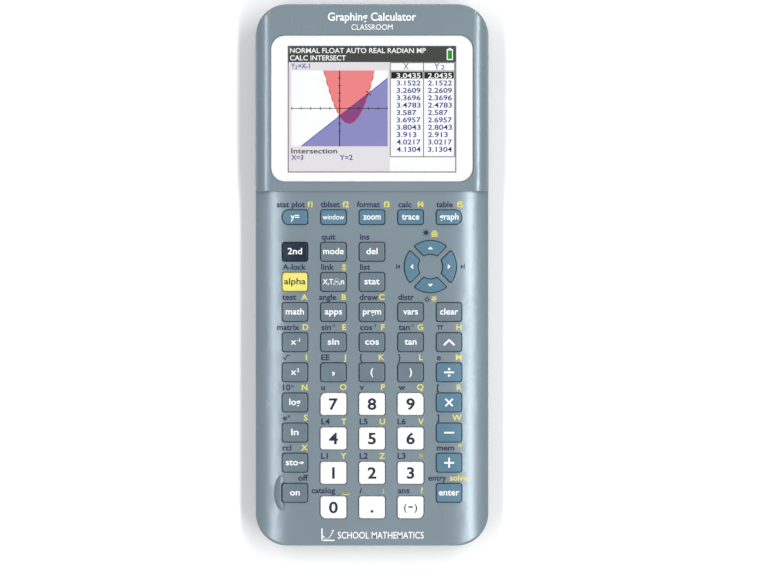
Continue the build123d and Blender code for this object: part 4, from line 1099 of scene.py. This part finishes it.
sheet_mesh = bmesh.new()
sheet_outline = rounded_outline(
    membrane_high.x - membrane_low.x, membrane_high.y - membrane_low.y, 0.9 * MM
)
sheet_y = (membrane_high.y + membrane_low.y) / 2
sheet_points = moved(sheet_outline, 0, sheet_y)
bottom = [sheet_mesh.verts.new((x, y, membrane_low.z)) for x, y in sheet_points]
top = [sheet_mesh.verts.new((x, y, SHEET_TOP)) for x, y in sheet_points]
sheet_mesh.faces.new(top)
sheet_mesh.faces.new(bottom[::-1])
for i in range(len(top)):
    j = (i + 1) % len(top)
    sheet_mesh.faces.new((bottom[i], bottom[j], top[j], top[i]))
mesh = bpy.data.meshes.new("key_sheet")
sheet_mesh.to_mesh(mesh)
sheet_mesh.free()
key_sheet = add_piece("key_sheet", mesh, [silicone], ROOT)
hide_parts("key_membrane")
for name, (x, y) in stems.items():
    profile = [(radius * MM, membrane_low.z + height * MM) for radius, height in DOME_PROFILE]
    dome = add_piece("dome_" + name, turned(profile, x, y), [silicone], None, True)
    "key_" + name
    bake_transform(dome)


# ---------------------------------------------------------------- table, light and camera
def area_light(name, place, size, energy):
    """A soft rectangular light aimed at the calculator."""
    lamp = bpy.data.lights.new(name, "AREA")
    lamp.shape = "RECTANGLE"
    lamp.size, lamp.size_y = size
    lamp.energy = energy
    holder = bpy.data.objects.new(name, lamp)
    holder.location = place
    holder.rotation_euler = (-Vector(place)).to_track_quat("-Z", "Y").to_euler()
    bpy.context.scene.collection.objects.link(holder)


TABLE_SIZE = 6.0
table = bpy.data.meshes.new("table_top")
half = TABLE_SIZE / 2
corners = [(-half, -half, 0), (half, -half, 0), (half, half, 0), (-half, half, 0)]
table.from_pydata(corners, [], [(0, 1, 2, 3)])
table.materials.append(table_top("table_finish"))
table_object = bpy.data.objects.new("table_top", table)
bpy.context.scene.collection.objects.link(table_object)

world = bpy.data.worlds.new("studio")
world.use_nodes = True
world.node_tree.nodes["Background"].inputs["Color"].default_value = (0.95, 0.98, 1.0, 1.0)
world.node_tree.nodes["Background"].inputs["Strength"].default_value = 0.22
bpy.context.scene.world = world
bpy.context.scene.view_settings.view_transform = "Standard"

area_light("left_strip", (-0.46, 0.0, 0.95), (1.3, 0.11), 5.0)
area_light("right_strip", (0.47, 0.0, 0.95), (1.3, 0.12), 8.6)
area_light("far_softbox", (0.0, 1.1, 0.65), (1.2, 0.4), 2.1)
area_light("near_softbox", (0.0, -1.1, 0.65), (1.2, 0.4), 1.95)

VIEW_WIDTH = 261.12 * MM  # how much the camera takes in from side to side at the keypad's height
camera_data = bpy.data.cameras.new("camera")
camera_data.lens = 150.0
camera_data.sensor_width = 36.0
camera_data.clip_end = 20.0
camera = bpy.data.objects.new("camera", camera_data)
distance = VIEW_WIDTH * camera_data.lens / camera_data.sensor_width
camera.location = (4.08 * MM, -4.42 * MM, KEYPAD_FACE + distance)
bpy.context.scene.collection.objects.link(camera)
bpy.context.scene.camera = camera
